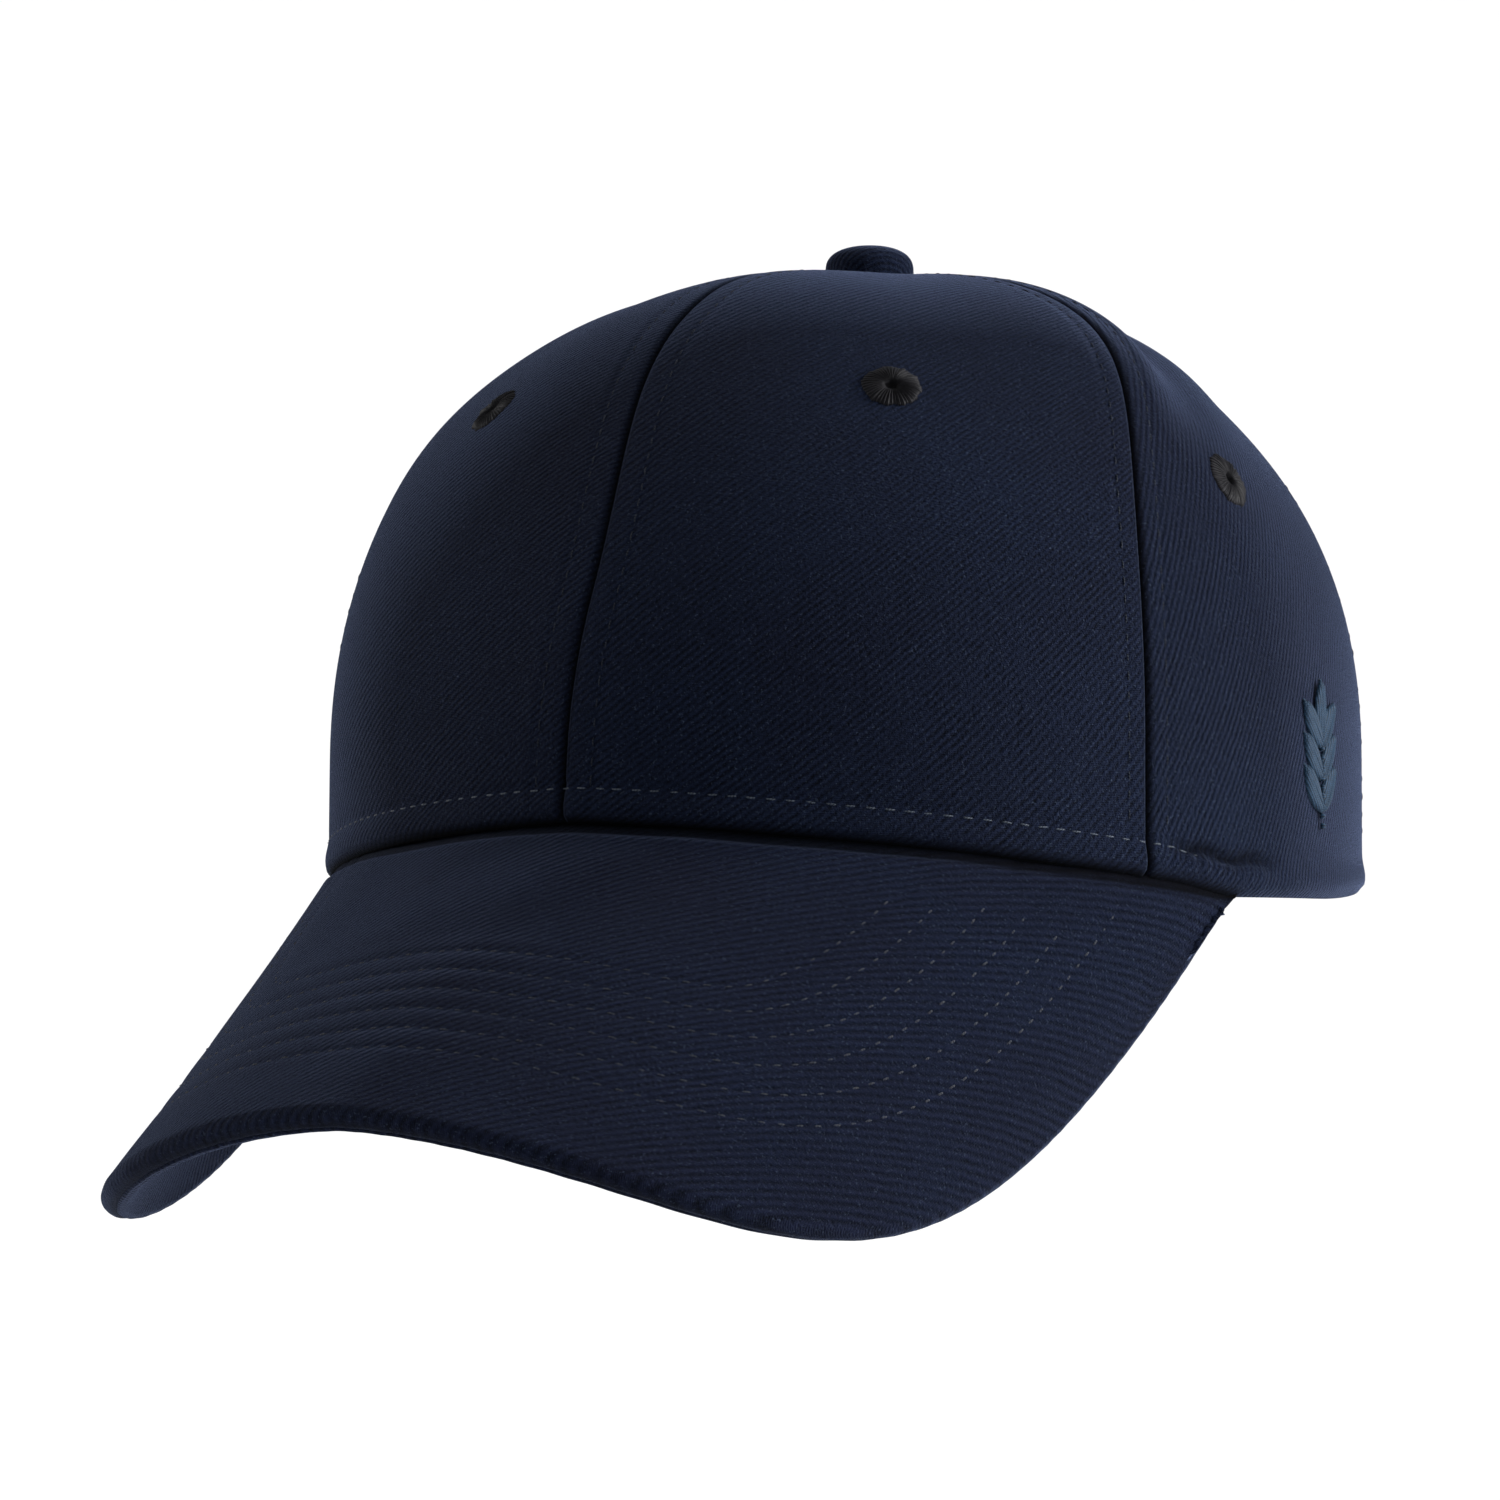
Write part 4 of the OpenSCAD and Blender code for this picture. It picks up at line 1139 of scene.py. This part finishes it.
def edge_rows(plan, out, off, seed, **style):
    """Two stitch rows along a line in plan, each a distance off the strap's middle height."""
    level = np.ones((len(plan), 1))
    normal = np.concatenate([out, 0 * level], -1)
    paths = [np.concatenate([plan, (STRAP_Z + side * off) * level], -1) for side in (-1, 1)]
    return [stitches(path, normal, seed=seed + k, **style) for k, path in enumerate(paths)]


def make_strap():
    cols, rows = 150, 26
    phi = np.linspace(57, 121, cols)
    across = rising(-1, 1, rows, cols)
    edge = np.abs(across) * STRAP_W / 2
    line = strap_line(phi, np.full(cols, -STRAP_T / 2))
    inward = unit(strap_line(phi, np.full(cols, 0.5)) - strap_line(phi, np.full(cols, -0.5)))
    pucker = 1 + 0.4 * np.cos(TURN * lengths(line, 0) / STITCH)
    stitched = 0.16 * bump(edge - (STRAP_W / 2 - STRAP_SEWN), 0.6) * pucker
    rounded = 0.3 * smooth(edge - (STRAP_W / 2 - 1.0))
    flat = line[None] + inward[None] * (stitched + rounded)[..., None]
    z = STRAP_Z + across * STRAP_W / 2
    points = np.concatenate([flat, z[..., None]], -1)[:, ::-1]
    mesh = sheet_mesh(points[:, ::-1], STRAP_T - 0.1, weave_of(points, 40.0)[:, ::-1])
    sewn = edge_rows(line, -inward, STRAP_W / 2 - STRAP_SEWN, 140, lift=0.05, width=0.2)
    show("adjuster_strap", mesh, TWILL, "twill")
    show("strap_stitching", joined(sewn + make_tab()), THREAD, "thread", nodes=[])


def make_tab():
    """The tab that holds the buckle: one strip folded round the frame's bar and sewn to itself.
    Gives back its stitch rows."""
    centre, x_way, y_way = buckle_frame_of_reference()
    run_phi = BUCKLE_ANGLE + np.degrees(np.linspace(37, 23, 18) / np.linalg.norm(centre))

    def run(depth):
        q = oval_at(run_phi, STRAP_DEPTH + STRAP_T / 2 + 0.35 + depth) - centre
        return np.stack([q @ x_way, q @ y_way], -1)

    turn = np.linspace(90, 270, 22)
    power = 2 / 2.8
    loop = np.stack([-np.abs(cosd(turn)) ** power, np.sign(sind(turn)) * np.abs(sind(turn)) ** power], -1)
    loop = np.array([BAR_X, BAR_Y]) + TAB_LOOP * loop
    near = run(2 * TAB_CLOTH + 0.06)[::-1]
    corners = np.concatenate([run(0), loop, near])
    along = lengths(corners, 0)
    fine = np.linspace(0, along[-1], 150)
    line = np.stack([np.interp(fine, along, corners[:, k]) for k in range(2)], -1)
    for _ in range(6):
        line[1:-1] = (line[:-2] + 2 * line[1:-1] + line[2:]) / 4
    plan = centre + line[:, :1] * x_way + line[:, 1:] * y_way
    way = unit(np.gradient(plan, axis=0))
    out = np.stack([-way[:, 1], way[:, 0]], -1)
    out *= np.sign(out[0] @ y_way)
    rows = 24
    half = STRAP_W / 2 - 0.5
    across = rising(-1, 1, rows, len(fine))
    edge = half * (1 - np.abs(across))
    uneven = 0.06 * waves(fine, across * half, 14, 145)
    sink = 0.14 * bump(edge - TAB_SEWN, 0.6) + 0.2 * (1 - smooth(edge / 0.9)) + uneven
    flat = plan[None] - out[None] * sink[..., None]
    points = np.concatenate([flat, (STRAP_Z + across * half)[..., None]], -1)
    if np.cross(points[0, 1] - points[0, 0], points[1, 0] - points[0, 0]) @ np.append(out[0], 0) < 0:
        points = points[::-1]
    show("buckle_tab", sheet_mesh(points, TAB_CLOTH - 0.06, weave_of(points, 40.0)), TWILL, "twill")
    inner = fine > along[-1] - np.linalg.norm(near[-1] - near[0])
    path_2d, normal_2d = plan[inner], out[inner]
    sewn = edge_rows(path_2d, normal_2d, half - TAB_SEWN, 146, lift=0.02, width=0.16)
    for k, at in enumerate((0, 7)):
        up = np.linspace(STRAP_Z - half + TAB_SEWN, STRAP_Z + half - TAB_SEWN, 20)[:, None]
        path = np.concatenate([np.tile(path_2d[at], (20, 1)), up], -1)
        normal = np.tile(np.append(normal_2d[at], 0), (20, 1))
        sewn.append(stitches(path, normal, lift=0.02, width=0.16, seed=148 + k))
    return sewn


# ---- Emblem: a sprig of leaves in satin stitch

def satin_leaf(base, direction, length, width, thickness=0.75, threads=26):
    """One leaf in the emblem's own plane: stitches slant across it from a middle line."""
    t = np.linspace(0, 1, threads * 4)[:, None]
    across = np.linspace(-1, 1, 13)[None]
    half = width / 2 * np.sin(np.pi * np.clip(t, 0.001, 0.999)) ** 0.8
    ridge = np.cos(TURN * (t * threads - 1.2 * np.abs(across)))
    dome = np.sqrt(np.maximum(0, 1 - across**2))
    rise = thickness * np.minimum(1, half / (width * 0.2)) + 0.13 * ridge
    height = dome * rise - 0.25 * bump(across, 0.1)
    way = np.array([math.sin(direction), math.cos(direction)])
    off = np.array([way[1], -way[0]])
    flat = np.array(base) + (t * length)[..., None] * way + (across * half)[..., None] * off
    return np.concatenate([flat, np.maximum(0.02, height)[..., None]], -1)


def make_emblem():
    centre, normal, side, up = crown_frame(*crown_spot("emblem"))
    turn = math.radians(42)
    width, height = 14.0, 25.0
    length = width / 2 / math.sin(turn)
    leaves = [((0, height - length), 0.0)]
    for k in range(3):
        y = 3 + k * (height - length - 4) / 2
        leaves += [((0, y), turn), ((0, y), -turn)]
    parts = []
    for base, direction in leaves:
        local = satin_leaf(base, direction, length, length * 0.42)
        local[..., 1] -= height / 2
        lift = local[..., 2] - local[..., 0] ** 2 / CROWN_BEND + 0.25
        points = centre + local[..., :1] * side + local[..., 1:2] * up + lift[..., None] * normal
        parts.append(sheet_mesh(points, 0.3, weave_of(points, 0.0)))
    stem_y = np.linspace(-height / 2, height / 2 - length + 1, 40)
    path = centre + stem_y[:, None] * up + 0.5 * normal
    parts.append(stitches(path, np.tile(normal, (40, 1)), pitch=1.6, width=0.55, lift=0.15, seed=150))
    show("emblem", joined(parts), EMBLEM_THREAD, "emblem_thread")


# ---- CAD pieces that keep their own meshes

def dress_cad():
    kept = [(f"buckle_{part}", BUCKLE_METAL) for part in ("frame", "lever", "pin")]
    kept += [(f"button_{part}", BUTTON_METAL) for part in ("shell", "prong")]
    for name, material in [*kept, ("visor_board", BOARD_PLASTIC)]:
        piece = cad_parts[name]
        piece.data.materials.clear()
        piece.data.materials.append(material)
        rounding = piece.modifiers.new("worn_edges", "BEVEL")
        rounding.width = 0.18 * MM
        rounding.segments = 2
        rounding.limit_method = "ANGLE"
        rounding.angle_limit = math.radians(40)


# ---- Stage, light and camera

def make_stage():
    """A pale floor well under the cap, and even white surroundings."""
    bpy.ops.mesh.primitive_plane_add(size=24, location=(0, 0, -0.3))
    floor = bpy.context.active_object
    floor.name = "floor"
    material, add = material_base("pale_floor")
    path = add("LightPath")
    diffuse = add("BsdfDiffuse", {"Color": (0.9, 0.9, 0.9, 1)})
    glow = add("Emission", {"Color": (1, 1, 1, 1), "Strength": 1.3})
    seen = calc(add, "MULTIPLY", (path, "Is Camera Ray"), 0.75)
    both = add("MixShader", {0: seen, 1: diffuse, 2: glow})
    clear = add("BsdfTransparent")
    side = add("NewGeometry")
    one_sided = add("MixShader", {0: (side, "Backfacing"), 1: both, 2: clear})
    floor.data.materials.append(finish_material(material, add, one_sided))

    world = bpy.data.worlds.new("studio")
    world.use_nodes = True
    bpy.context.scene.world = world
    tree = world.node_tree
    tree.nodes.clear()
    add = node_maker(world)
    path = add("LightPath")
    strength = remap(add, (path, "Is Camera Ray"), to_low=0.27, to_high=1.02)
    light = add("Background", {"Color": (1, 1, 1, 1), "Strength": strength})
    add("OutputWorld", {"Surface": (light, 0)})


# name, azimuth, elevation, distance and size in metres, power in watts
LIGHTS = [
    ("right", 114, 21, 1.5, 0.9, 46),
    ("left", -84, 20, 1.6, 0.9, 12),
    ("top", 60, 76, 1.5, 1.0, 1.5),
    ("front", 25, 10, 2.2, 1.2, 5),
]


def outward(azimuth, elevation):
    """The way out from the cap at angles in degrees; azimuth 0 is the front."""
    a, e = math.radians(azimuth), math.radians(elevation)
    return np.array([math.sin(a) * math.cos(e), -math.cos(a) * math.cos(e), math.sin(e)])


def add_light(name, azimuth, elevation, distance, size, power):
    """A square softbox aimed at the middle of the crown."""
    light = bpy.data.lights.new(name, "AREA")
    light.shape = "SQUARE"
    light.size = size
    light.energy = power
    lamp = new_object(name, light)
    back = outward(azimuth, elevation)
    aim = np.array([0, 0, 40]) * MM
    lamp.location = (aim + back * distance).tolist()
    lamp.rotation_mode = "QUATERNION"
    lamp.rotation_quaternion = Vector((-back).tolist()).to_track_quat("-Z", "Y")


def make_camera():
    azimuth, elevation, distance = 28.44, -2.33, 850.0
    across, rise = -15.67, 26.0
    back = outward(azimuth, elevation)
    right = outward(azimuth + 90, 0)
    up = np.cross(back, right)
    data = bpy.data.cameras.new("camera")
    data.sensor_width = 36.0
    data.lens = 118.46
    data.clip_start, data.clip_end = 0.05, 60
    camera = new_object("camera", data)
    camera.location = ((right * across + up * rise + back * distance) * MM).tolist()
    camera.rotation_euler = (math.radians(90 - elevation), 0, math.radians(azimuth))
    bpy.context.scene.camera = camera


make_camera()
make_panels()
make_eyelets()
make_button()
make_visor()
make_visor_stitching()
make_crown_stitching()
make_buckram()
make_tapes()
make_sweatband()
make_label("size_label", 38, 12, 8, 24, 1)
make_label("care_label", 14, 22, 4, 29, -1)
make_binding()
make_strap()
make_emblem()
dress_cad()
make_stage()
for light in LIGHTS:
    add_light(*light)
bpy.context.scene.view_settings.view_transform = "Standard"
